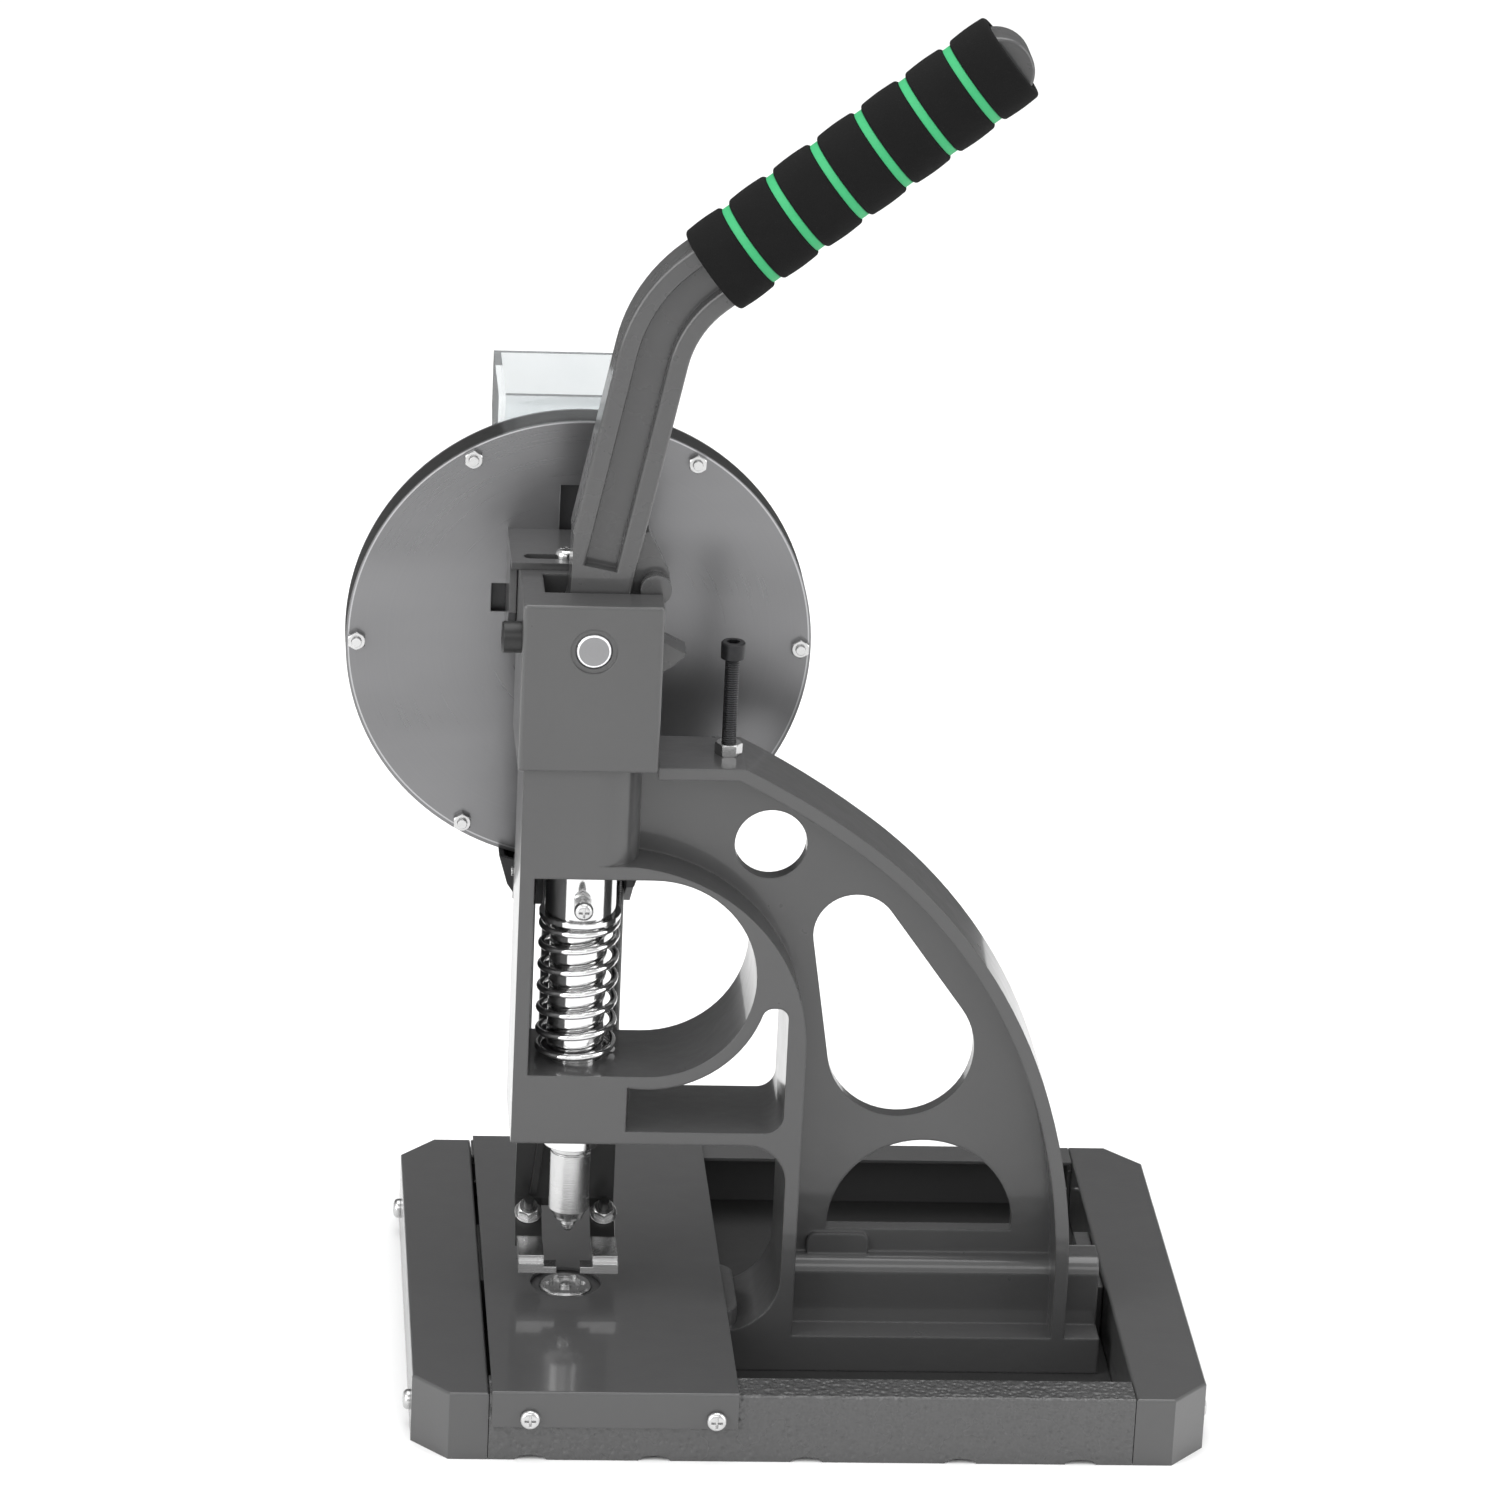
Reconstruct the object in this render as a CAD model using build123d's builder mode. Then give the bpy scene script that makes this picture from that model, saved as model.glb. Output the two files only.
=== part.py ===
from build123d import *
import os
from math import atan2, cos, pi, radians, sin, tan

# Hand-lever grommet press with a drum feeder. Millimetres.
# X runs from the ram to the foot of the arch, Y runs away from the operator's side, Z is up.
# The origin is the centre of the base's footprint, on the surface the base stands on.

os.makedirs("parts", exist_ok=True)

# --- driving dimensions: base ---
base_length = 330.0
base_width = 256.0
base_height = 30.0
sheet = 1.5
cover_width = 31.2
cover_chamfer_x = 15.0
cover_chamfer_y = 17.0
flange_depth = 17.0
seam = 0.3
table_top = 31.5
table_left = -132.6
table_right = -31.0
table_flange_drop = 16.0
die_hole_diameter = 30.0
table_screw_x = (-116.8, -40.0)
table_screw_z = 19.5
side_screw_y = 95.0
side_screw_z = 11.0
corner_screw_z = 14.0
scallop_depth = 2.2
plate_gap = 0.1

# --- driving dimensions: press frame casting ---
ram_x = -98.0
ram_y = -23.0
frame_width = 50.0
web_thickness = 7.0
rim = 5.7
arch_width_top = 38.0
wall_left = ram_x - 26.7
jaw_top = 20.8
frame_bottom = 3.0
arm_bottom = 106.7
window_x = -69.0
window_z = 181.4
window_radius = 44.0
arch_top = 272.7
foot_right = 128.0
band_top = 19.4
barrel_top = 49.0
barrel_width = 22.0
head_bottom = 274.0
head_top = 345.5
head_left = -127.3
head_right = -69.7
head_width = 56.0
slot_width = 23.0
slot_left = ram_x - 20.0
slot_floor = 286.0
slot_sill = 291.0
sweep_radius = 40.6
boss_radius = 18.0
guide_right = ram_x + 23.0

# --- driving dimensions: lever, ram and dies ---
pivot_z = 326.0
pin_diameter = 15.0
hub_radius = 15.0
lever_width = 29.0
lever_thickness = 20.0
lever_web = 8.0
lever_flange = 8.0
lever_lean = 11.4
grip_rise = 38.6
bend_radius = 55.0
shank_length = 120.0
grip_diameter = 39.0
grip_start = 24.5
end_segment = 17.6
mid_segment = 18.2
ring_length = 3.6
ring_recess = 1.6
grip_gap = 0.1
mid_segments = 5
bar_stick = 7.0
lever_travel = 68.0
ram_stroke = 24.0
ram_diameter = 24.0
nose_radius = 7.0
nose_start = 20.0
collar_diameter = 29.6
collar_height = 20.0
collar_drop = 3.4
ram_bottom = 97.0
spring_diameter = 34.0
spring_wire = 3.0
spring_turns = 5.6
die_diameter = 17.0
die_bottom = 62.2
die_top = 94.0
lower_die_diameter = 22.0
running_fit = 0.05
free_gap = 0.3

# --- driving dimensions: frame fasteners ---
stop_x = -39.3
stop_length = 42.0
stop_diameter = 6.0
stop_grip = 5.5
lock_diameter = 8.0
lock_inset = 8.25
lock_rise = 3.0
side_screw_diameter = 4.0
side_screw_length = 8.0
side_screw_offset = 19.0
head_screw_z = 314.0
tie_bolt = 6.0
tie_length = 24.0
tie_places = ((20.0, 18.0), (37.0, 18.0))
slot_screw_x = (-108.0, -92.0)
slot_screw_diameter = 5.0
slot_screw_length = 12.0

# --- driving dimensions: drum feeder ---
drum_x = -99.3
drum_z = 298.4
drum_radius = 97.5
drum_front = 36.0
drum_plate = 1.5
drum_ring = 14.0
drum_ring_wall = 9.0
drum_bolt_diameter = 4.0
rotor_gap = 4.5
rotor_thickness = 7.0
shaft_diameter = 10.0
hopper_left = -135.5
hopper_right = -63.0
hopper_depth = 62.0
hopper_top = 401.0
hopper_bottom = 334.0
hopper_wall = 3.0
bracket_thickness = 3.0
bracket_left = -130.6
bracket_right = -86.0
bracket_front = -7.0
bracket_screw = 4.0
bracket_screw_x = -118.5
bracket_screw_z = (306.0, 336.0)

# --- driving dimensions: chute and fingers ---
chute_pivot_y = 14.0
chute_pivot_z = 204.0
chute_pin = 4.0
rail_width = 26.0
rail_thickness = 7.0
plate_width = 42.0
chute_plate = 3.0
foot_slope = 34.0
finger_z = 47.0
finger_gap = 20.6
tip_gap = 10.0
chute_travel = 18.0

# --- worked out from the driving dimensions ---
front = -base_width / 2
back = base_width / 2
left = -base_length / 2
right = base_length / 2
left_inner = left + cover_width
right_inner = right - cover_width
near = ram_y - frame_width / 2
far = ram_y + frame_width / 2
web_near = ram_y - web_thickness / 2
head_near = ram_y - head_width / 2
head_far = ram_y + head_width / 2
grip_length = 2 * end_segment + mid_segments * mid_segment + (mid_segments + 1) * ring_length
handle_length = grip_start + grip_length + bar_stick - lever_width / 2
lock_length = ram_x - pin_diameter / 2 - head_left - 0.1
lock_place = (head_left, head_near + lock_inset, pivot_z + lock_rise)
head_screw_place = (head_right, ram_y + side_screw_offset, head_screw_z)
slot_y = head_far - 3.5
drum_bolt_circle = drum_radius - drum_ring_wall / 2
rotor_radius = drum_radius - drum_ring_wall - rotor_gap
window_bottom = window_z - window_radius
window_top = window_z + window_radius
collar_top = window_top - collar_drop
collar_bottom = collar_top - collar_height
clamp_z = (collar_bottom + collar_top) / 2


def save(part, name):
    """Label a finished piece and write it under its own name."""
    part.label = name
    export_step(part, f"parts/{name}.step")


def group(shapes):
    """Several equal pieces kept as separate solids of one node."""
    solids = []
    for shape in shapes:
        solids.extend(shape.solids())
    return Compound(children=solids)


def placed(shape, origin, z_dir=(0, 0, 1), x_dir=None):
    """A copy of a piece with its own Z along z_dir, standing at origin."""
    plane = Plane(origin=origin, z_dir=z_dir) if x_dir is None else Plane(origin=origin, x_dir=x_dir, z_dir=z_dir)
    return shape.moved(plane.location)


def pan_screw(head, height, shank, length):
    """Pan-head screw with a cross recess, head above its own XY plane."""
    with BuildPart() as screw:
        Cylinder(head / 2, height, align=(Align.CENTER, Align.CENTER, Align.MIN))
        fillet(screw.edges().group_by(Axis.Z)[-1], height * 0.7)
        with BuildSketch(Plane.XY.offset(height * 0.45)):
            Rectangle(head * 0.55, head * 0.12)
            Rectangle(head * 0.12, head * 0.55)
        extrude(amount=height, mode=Mode.SUBTRACT)
        with BuildSketch():
            Circle(shank / 2)
        extrude(amount=-length)
    return screw.part


def socket_screw(head, height, shank, length, key):
    """Socket-head cap screw, head above its own XY plane."""
    with BuildPart() as screw:
        Cylinder(head / 2, height, align=(Align.CENTER, Align.CENTER, Align.MIN))
        chamfer(screw.edges().group_by(Axis.Z)[-1], head * 0.05)
        with BuildSketch(Plane.XY.offset(height)):
            RegularPolygon(key / 2, 6, major_radius=False)
        extrude(amount=-height * 0.55, mode=Mode.SUBTRACT)
        with BuildSketch():
            Circle(shank / 2)
        extrude(amount=-length)
    return screw.part


def hex_nut(flats, height, bore, flange=0.0):
    """Hexagon nut standing on its own XY plane, with a washer flange if one is asked for."""
    with BuildPart() as nut:
        with BuildSketch():
            RegularPolygon(flats / 2, 6, major_radius=False)
        extrude(amount=height)
        with BuildSketch(Plane.XZ):
            with BuildLine():
                Polyline((0, 0), (flats * 0.54, 0), (flats * 0.58, height * 0.12), (flats * 0.58, height * 0.88),
                         (flats * 0.5, height), (0, height), close=True)
            make_face()
        revolve(axis=Axis.Z, mode=Mode.INTERSECT)
        if flange > 0:
            with BuildSketch():
                Circle(flange / 2)
            extrude(amount=height * 0.2)
        with BuildSketch():
            Circle(bore / 2)
        extrude(amount=height, mode=Mode.SUBTRACT)
    return nut.part


# ===== base =====

def channel(side):
    """Sheet-metal channel along X; side is -1 at the front and +1 at the back."""
    outer = side * base_width / 2
    x0 = left_inner + seam
    x1 = right_inner - seam
    middle = (x0 + x1) / 2
    with BuildPart() as piece:
        with BuildSketch(Plane.YZ.offset(x0)):
            with BuildLine():
                Polyline((outer, 0), (outer, base_height), (outer - side * flange_depth, base_height),
                         (outer - side * flange_depth, base_height - sheet),
                         (outer - side * sheet, base_height - sheet), (outer - side * sheet, 0), close=True)
            make_face()
        extrude(amount=x1 - x0)
        fillet(piece.edges().filter_by(Axis.X).group_by(Axis.Z)[-1].sort_by(Axis.Y)[0 if side < 0 else -1], sheet * 0.9)
        for x, grow in ((x0, 1), (x1, -1)):
            with BuildSketch(Plane.YZ.offset(x)):
                with Locations((outer - side * (sheet + 8), base_height / 2)):
                    Rectangle(16, base_height - 8)
            extrude(amount=grow * sheet)
        with Locations(*[Plane((x, outer - side * 10, corner_screw_z), z_dir=(1, 0, 0)).location for x in (x0, x1)]):
            Cylinder(1.7, 4 * sheet, mode=Mode.SUBTRACT)
        with BuildSketch(Plane.XZ):
            for x in (-116.0, -65.0, -2.0, 62.0, 112.0):
                with Locations((x + middle, 0)):
                    Ellipse(6.5, scallop_depth)
        extrude(amount=base_width, both=True, mode=Mode.SUBTRACT)
        if side < 0:
            screw_places = [(x, table_screw_z) for x in table_screw_x]
            with BuildSketch(Plane.XZ.offset(-outer)):
                with Locations(*screw_places):
                    Circle(1.8)
            extrude(amount=2 * sheet, both=True, mode=Mode.SUBTRACT)
    return piece.part


front_channel = channel(-1)
back_channel = channel(1)
save(front_channel, "front_channel")
save(back_channel, "back_channel")


def end_cover(side):
    """Folded cover at one end of the base; side is -1 at the left and +1 at the right."""
    inner = side * (base_length / 2 - cover_width)
    outer = side * base_length / 2
    with BuildPart() as piece:
        with BuildSketch() as plan:
            with BuildLine():
                Polyline((inner, front), (outer - side * cover_chamfer_x, front), (outer, front + cover_chamfer_y),
                         (outer, back - cover_chamfer_y), (outer - side * cover_chamfer_x, back), (inner, back),
                         close=True)
            make_face()
        extrude(amount=base_height)
        fillet(piece.edges().group_by(Axis.Z)[-1], 1.2)
        with BuildSketch():
            offset(plan.sketch, amount=-sheet, kind=Kind.INTERSECTION)
        extrude(amount=base_height - sheet, mode=Mode.SUBTRACT)
        with Locations(*[Plane((outer, y, side_screw_z), z_dir=(1, 0, 0)).location
                         for y in (-side_screw_y, side_screw_y)]):
            Cylinder(2.2, 4 * sheet, mode=Mode.SUBTRACT)
        with Locations(*[Plane((inner, y, z), z_dir=(1, 0, 0)).location for y, z in tie_places]):
            Cylinder(tie_bolt / 2 + free_gap, 4 * sheet, mode=Mode.SUBTRACT)
        with Locations(*[Plane((inner, s * (base_width / 2 - 10), corner_screw_z), z_dir=(1, 0, 0)).location
                         for s in (-1, 1)]):
            Cylinder(1.7, 4 * sheet, mode=Mode.SUBTRACT)
    return piece.part


save(end_cover(-1), "left_end_cover")
save(end_cover(1), "right_end_cover")

side_screw = pan_screw(8.5, 3.0, 4.0, 9.0)
side_screws = [placed(side_screw, (side * base_length / 2, y, side_screw_z), (side, 0, 0))
               for side in (-1, 1) for y in (-side_screw_y, side_screw_y)]
save(group(side_screws), "end_cover_screws")

corner_screw = pan_screw(6.0, 2.2, 3.0, 12.0)
corner_screws = [placed(corner_screw, (side * (base_length / 2 - cover_width + sheet), s * (base_width / 2 - 10),
                                       corner_screw_z), (side, 0, 0))
                 for side in (-1, 1) for s in (-1, 1)]
save(group(corner_screws), "corner_screws")

with BuildPart() as table_plate:
    with BuildSketch(Plane.YZ.offset(table_left)):
        with BuildLine():
            y0 = front - sheet
            y1 = back + sheet
            z0 = table_top - table_flange_drop
            Polyline((y0, z0), (y0, table_top), (y1, table_top), (y1, z0), (y1 - sheet + 0.01, z0),
                     (y1 - sheet + 0.01, table_top - sheet), (y0 + sheet - 0.01, table_top - sheet),
                     (y0 + sheet - 0.01, z0), close=True)
        make_face()
    extrude(amount=table_right - table_left)
    fillet(table_plate.edges().filter_by(Axis.X).group_by(Axis.Z)[-1], sheet * 0.9)
    with Locations((ram_x, ram_y, table_top)):
        Cylinder(die_hole_diameter / 2, 4 * sheet, mode=Mode.SUBTRACT)
    with BuildSketch(Plane.XZ.offset(-front)):
        with Locations(*[(x, table_screw_z) for x in table_screw_x]):
            Circle(2.2)
    extrude(amount=2 * sheet, both=True, mode=Mode.SUBTRACT)
save(table_plate.part, "table_plate")

with BuildPart() as bottom_plate:
    with BuildSketch(Plane.XY.offset(scallop_depth)):
        Rectangle(right_inner - left_inner - 2 * seam, base_width - 2 * sheet - 2 * plate_gap)
    extrude(amount=frame_bottom - plate_gap - scallop_depth)
save(bottom_plate.part, "bottom_plate")

table_screw = pan_screw(8.6, 3.0, 4.0 - 2 * free_gap, 8.0)
save(group([placed(table_screw, (x, front - sheet, table_screw_z), (0, -1, 0)) for x in table_screw_x]),
     "table_screws")

# ===== press frame casting =====

arch_stations = ((113.0, 46.0), (97.5, 136.0), (21.8, 238.8), (-33.0, arch_top))


def arch_outline(inset):
    """Closed outline of the arch in X and Z, moved inwards by inset."""
    heading = pi / 2
    points = []
    for here, there in zip(arch_stations, arch_stations[1:] + arch_stations[-1:]):
        points.append((here[0] - inset * sin(heading), here[1] + inset * cos(heading)))
        if there != here:
            heading = 2 * atan2(there[1] - here[1], there[0] - here[0]) - heading
    with BuildSketch() as outline:
        with BuildLine():
            low = TangentArc(points[0], points[1], tangent=(0, 1))
            middle = TangentArc(points[1], points[2], tangent=low % 1)
            high = TangentArc(points[2], points[3], tangent=middle % 1)
            Polyline(high @ 1, (wall_left + 8 + inset, arch_top - inset), (wall_left + 8 + inset, frame_bottom + inset),
                     (113.0 - inset, frame_bottom + inset), low @ 0)
        make_face()
    return outline.sketch


def front_plane(y):
    """Sketch plane facing the operator at depth y, with its X along X and its Y along Z."""
    return Plane(origin=(0, y, 0), x_dir=(1, 0, 0), z_dir=(0, -1, 0))


leg_left = -9.0
leg_right = -3.0
throat_low = 26.0
throat_high = 17.0
arm_slot_top = 169.0
arm_slot_left = -22.6

with BuildSketch() as heavy_outline:
    # left wall, window rim, lower arm, leg, jaw and base band: everything of the full width
    with BuildLine():
        l0 = Polyline((wall_left, window_top + rim), (wall_left, arm_bottom), (leg_left, arm_bottom))
        l1 = Polyline((leg_left, arm_bottom), (leg_left, jaw_top), (wall_left, jaw_top), (wall_left, frame_bottom),
                      (113.0, frame_bottom), (113.0, band_top), (leg_right, band_top), (leg_right, 150.0))
        l2 = ThreePointArc((leg_right, 150.0), (-25.0, 205.5), (-77.0, window_top + rim))
        Line(l2 @ 1, l0 @ 0)
    make_face()
    throat = heavy_outline.vertices()
    fillet([v for v in throat if abs(v.X - leg_left) < 0.1 and abs(v.Y - jaw_top) < 0.1], throat_low)
    fillet([v for v in heavy_outline.vertices() if abs(v.X - leg_left) < 0.1 and abs(v.Y - arm_bottom) < 0.1],
           throat_high)
    # spring window
    with BuildSketch(mode=Mode.SUBTRACT):
        with Locations((window_x, window_z)):
            Circle(window_radius)
        with Locations(((wall_left + 6 + window_x) / 2, window_z)):
            Rectangle(window_x - wall_left - 6, 2 * window_radius)
    # window between the lower arm, the ring and the leg
    with BuildSketch(mode=Mode.SUBTRACT) as arm_window:
        with Locations(((-77.0 + leg_left - 2) / 2, (arm_bottom + rim + arm_slot_top) / 2)):
            Rectangle(leg_left - 2 + 77.0, arm_slot_top - arm_bottom - rim)
        right_corners = arm_window.vertices().sort_by(Axis.X)[-2:].sort_by(Axis.Y)
        fillet(right_corners[0], 8.0)
        with Locations((window_x, window_z)):
            Circle(window_radius + rim, mode=Mode.SUBTRACT)
        with Locations((arm_slot_left - 56.0, arm_slot_top + 24.5)):
            Rectangle(112.0, 60.0, mode=Mode.SUBTRACT)
        fillet([v for v in arm_window.vertices() if v.Y > arm_slot_top - 0.1], 4.8)

with BuildPart() as press_frame:
    # web of the arch with its openings
    with BuildSketch(front_plane(web_near)):
        add(arch_outline(1.0))
    extrude(amount=-web_thickness)
    with BuildSketch(front_plane(web_near - 1)):
        with Locations(((wall_left + leg_left) / 2 - 1, (arm_slot_top - 28.0) / 2)):
            Rectangle(leg_left - wall_left + 2, arm_slot_top + 32.0)
        with Locations((window_x, window_z)):
            Circle(window_radius + 2)
        with Locations(((wall_left + 6 + window_x) / 2, window_z)):
            Rectangle(window_x - wall_left - 6, 2 * window_radius)
    extrude(amount=-web_thickness - 2, mode=Mode.SUBTRACT)
    with BuildSketch(front_plane(web_near - 1)):
        with Locations((-20.0, 234.0)):
            Circle(15.1)
        with BuildSketch() as kidney:
            with Locations((17.3, 194.2)):
                Circle(17.8)
            with Locations((38.8, 142.8)):
                Circle(30.9)
            make_hull()
        with BuildSketch() as dome:
            with Locations((50.8, 61.5)):
                Circle(39.5)
            with Locations((50.8, 59.7 - 25.0)):
                Rectangle(90.0, 50.0, mode=Mode.SUBTRACT)
    extrude(amount=-web_thickness - 2, mode=Mode.SUBTRACT)
    with BuildSketch(front_plane(near)):
        add(heavy_outline.sketch)
    extrude(amount=-frame_width)
    # rim flange of the arch, narrower at the top
    with BuildSketch(front_plane(near)):
        add(arch_outline(0))
        add(arch_outline(rim), mode=Mode.SUBTRACT)
        with Locations((-100.0, 130.0)):
            Rectangle(62.0, 400.0, mode=Mode.SUBTRACT)
        with Locations((0.0, frame_bottom)):
            Rectangle(220.0, 20.0, mode=Mode.SUBTRACT)
    extrude(amount=-frame_width)
    side_cut = (frame_width - arch_width_top) / 2
    for side in (-1, 1):
        edge = ram_y + side * frame_width / 2
        with BuildSketch(Plane.YZ.offset(-74.0)):
            with Locations((edge + side * (1 - side_cut) / 2, 263.0)):
                Rectangle(side_cut + 1, 54.0)
        extrude(amount=71.5, mode=Mode.SUBTRACT)
        with BuildSketch(Plane.YZ.offset(-2.5)):
            with BuildLine():
                Polyline((edge + side, 120.0), (edge - side * side_cut, 240.0), (edge - side * side_cut, 290.0),
                         (edge + side, 290.0), close=True)
            make_face()
        extrude(amount=140.0, mode=Mode.SUBTRACT)
    # foot barrel with its ledge and pad
    with BuildSketch(Plane.YZ.offset(leg_right - 1)):
        with Locations((ram_y, (frame_bottom + barrel_top) / 2)):
            RectangleRounded(barrel_width, barrel_top - frame_bottom, 7.0)
    extrude(amount=foot_right - leg_right + 1)
    with BuildSketch(front_plane(near)):
        with Locations(((112.0 + foot_right) / 2, (frame_bottom + band_top) / 2)):
            Rectangle(foot_right - 112.0, band_top - frame_bottom)
    extrude(amount=-frame_width)
    with BuildSketch(front_plane(web_near - 2.0)):
        with Locations((16.4, barrel_top + 3.5)):
            RectangleRounded(26.4, 11.0, 4.0)
    extrude(amount=-3.0)
    # lower guide and upper barrel, rounded on the arch side
    for z0, z1 in ((arm_bottom, window_bottom), (window_top, head_bottom + 1)):
        with BuildSketch(Plane.XY.offset(z0)) as guide_plan:
            with Locations(((wall_left + guide_right) / 2, ram_y)):
                Rectangle(guide_right - wall_left, frame_width)
            fillet(guide_plan.vertices().sort_by(Axis.X)[-2:], boss_radius)
        extrude(amount=z1 - z0)
    # head box, set on the upper barrel
    with BuildSketch(Plane.XY.offset(head_bottom)):
        with Locations(((head_left + head_right) / 2, ram_y)):
            Rectangle(head_right - head_left, head_width)
    extrude(amount=head_top - head_bottom)
    head_edges = press_frame.edges().filter_by_position(Axis.Z, head_bottom - 0.1, head_top + 0.1)
    fillet(head_edges.filter_by(Axis.Z).filter_by(lambda e: abs(abs(e.center().Y - ram_y) - head_width / 2) < 0.1),
           2.0)
    fillet(press_frame.edges().group_by(Axis.Z)[-1], 1.2)
    # jaw boss under the lower die
    with BuildSketch(Plane.XY.offset(jaw_top - 1)):
        with Locations(((wall_left - 26.0) / 2, ram_y)):
            RectangleRounded(-26.0 - wall_left, frame_width - 2, 8.0)
    extrude(amount=table_top - sheet - free_gap - jaw_top + 1)
    # mounting ears at both ends of the casting
    for x0, x1 in ((left_inner + seam, wall_left + 6), (foot_right - 1, right_inner - seam)):
        with BuildSketch(Plane.XY.offset(frame_bottom)):
            with Locations(((x0 + x1) / 2, 17.0)):
                Rectangle(x1 - x0, 56.0)
        extrude(amount=band_top + 7.0 - frame_bottom)
    # slot for the lever and its cam, open at the top and towards the arch
    with BuildSketch(front_plane(ram_y - slot_width / 2)):
        with BuildLine():
            Polyline((slot_left, head_top + 1), (slot_left, slot_floor), (ram_x, slot_floor), (ram_x, slot_sill),
                     (head_right + 5, slot_sill), (head_right + 5, head_top + 1), close=True)
        make_face()
        with BuildSketch() as sweep_room:
            with Locations((ram_x, pivot_z)):
                Circle(sweep_radius)
            with Locations((ram_x - sweep_radius, pivot_z)):
                Rectangle(2 * sweep_radius, 2 * sweep_radius + 2, mode=Mode.SUBTRACT)
    extrude(amount=-slot_width, mode=Mode.SUBTRACT)
    # ram bore through the head and the lower guide, and the die seat
    with BuildSketch(Plane.XY.offset(arm_bottom - 1)):
        with Locations((ram_x, ram_y)):
            Circle(ram_diameter / 2 + running_fit)
    extrude(amount=slot_sill + 9 - arm_bottom, mode=Mode.SUBTRACT)
    with BuildSketch(Plane.XY.offset(6.0)):
        with Locations((ram_x, ram_y)):
            Circle(lower_die_diameter / 2 + running_fit)
    extrude(amount=40.0, mode=Mode.SUBTRACT)
    # cross bore for the pivot pin, with the shallow ring round it
    with BuildSketch(front_plane(head_near - 1)):
        with Locations((ram_x, pivot_z)):
            Circle(pin_diameter / 2 + running_fit)
    extrude(amount=-head_width - 2, mode=Mode.SUBTRACT)
    with BuildSketch(front_plane(head_near - 1)):
        with Locations((ram_x, pivot_z)):
            Circle(pin_diameter / 2 + 2.0)
    extrude(amount=-1.8, mode=Mode.SUBTRACT)
    # holes for the lock screw, the side screw, the stop bolt, the bracket and the base
    with Locations(Plane(lock_place, z_dir=(1, 0, 0)).location):
        Cylinder(lock_diameter / 2 + running_fit, 2 * lock_length, mode=Mode.SUBTRACT)
    with Locations(Plane(head_screw_place, z_dir=(1, 0, 0)).location):
        Cylinder(side_screw_diameter / 2 + running_fit, 2 * side_screw_length + 1, mode=Mode.SUBTRACT)
    with Locations((stop_x, ram_y, arch_top)):
        Cylinder(stop_diameter / 2 + running_fit, 2 * stop_grip + 1, mode=Mode.SUBTRACT)
    with Locations(*[(x, slot_y, head_top) for x in slot_screw_x]):
        Cylinder(slot_screw_diameter / 2 + running_fit, 2 * (slot_screw_length - bracket_thickness) + 1,
                 mode=Mode.SUBTRACT)
    with Locations(*[Plane((side * (right_inner - 4.0), y, z), z_dir=(1, 0, 0)).location
                     for side in (-1, 1) for y, z in tie_places]):
        Cylinder(tie_bolt / 2 + running_fit, 40.0, mode=Mode.SUBTRACT)
save(press_frame.part, "press_frame")

# ===== lower die, pivot pin, stop bolt and frame fasteners =====

with BuildPart() as lower_die:
    with BuildSketch(Plane.XY.offset(6.0)):
        with Locations((ram_x, ram_y)):
            Circle(lower_die_diameter / 2)
    extrude(amount=table_top - 0.5 - 6.0)
    with BuildSketch(Plane.XY.offset(table_top - 0.5)):
        with Locations((ram_x, ram_y)):
            Circle(7.0)
    extrude(amount=-1.6, mode=Mode.SUBTRACT)
    with BuildSketch(Plane.XY.offset(table_top - 0.5)):
        with Locations((ram_x, ram_y)):
            with PolarLocations(7.2, 6):
                Circle(1.6)
    extrude(amount=-1.6, mode=Mode.SUBTRACT)
    chamfer(lower_die.edges().filter_by(GeomType.CIRCLE).filter_by_position(Axis.Z, table_top - 0.6, table_top)
            .sort_by(SortBy.LENGTH)[-1], 0.8)
    with BuildSketch(Plane.XY.offset(6.0)):
        with Locations((ram_x, ram_y)):
            Circle(2.5 + running_fit)
    extrude(amount=40.0, mode=Mode.SUBTRACT)
save(lower_die.part, "lower_die")

with BuildPart() as lower_die_pin:
    with BuildSketch(front_plane(ram_y)):
        with BuildLine():
            Polyline((ram_x, 10.0), (ram_x + 2.5, 10.0), (ram_x + 2.5, table_top - 0.6), (ram_x + 1.4, table_top + 0.1),
                     (ram_x, table_top + 0.2), close=True)
        make_face()
    revolve(axis=Axis((ram_x, ram_y, 0), (0, 0, 1)))
save(lower_die_pin.part, "lower_die_pin")

with BuildPart() as pivot_pin:
    with BuildSketch(front_plane(head_near + 0.4)):
        with Locations((ram_x, pivot_z)):
            Circle(pin_diameter / 2)
    extrude(amount=-head_width + 0.8)
    chamfer(pivot_pin.edges().filter_by(GeomType.CIRCLE), 0.8)
save(pivot_pin.part, "pivot_pin")

lock_screw = socket_screw(13.0, 8.0, lock_diameter, lock_length, 6.0)
save(placed(lock_screw, lock_place, (-1, 0, 0)), "pin_lock_screw")

stop_bolt = socket_screw(10.0, 7.0, stop_diameter, stop_length + stop_grip, 5.0)
save(placed(stop_bolt, (stop_x, ram_y, arch_top + stop_length)), "stop_bolt")
stop_nut = hex_nut(10.0, 5.0, stop_diameter + 2 * running_fit)
save(placed(stop_nut, (stop_x, ram_y, arch_top)), "stop_nut")

head_screw = pan_screw(8.0, 3.0, side_screw_diameter, side_screw_length)
save(placed(head_screw, head_screw_place, (1, 0, 0)), "head_side_screw")

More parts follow.
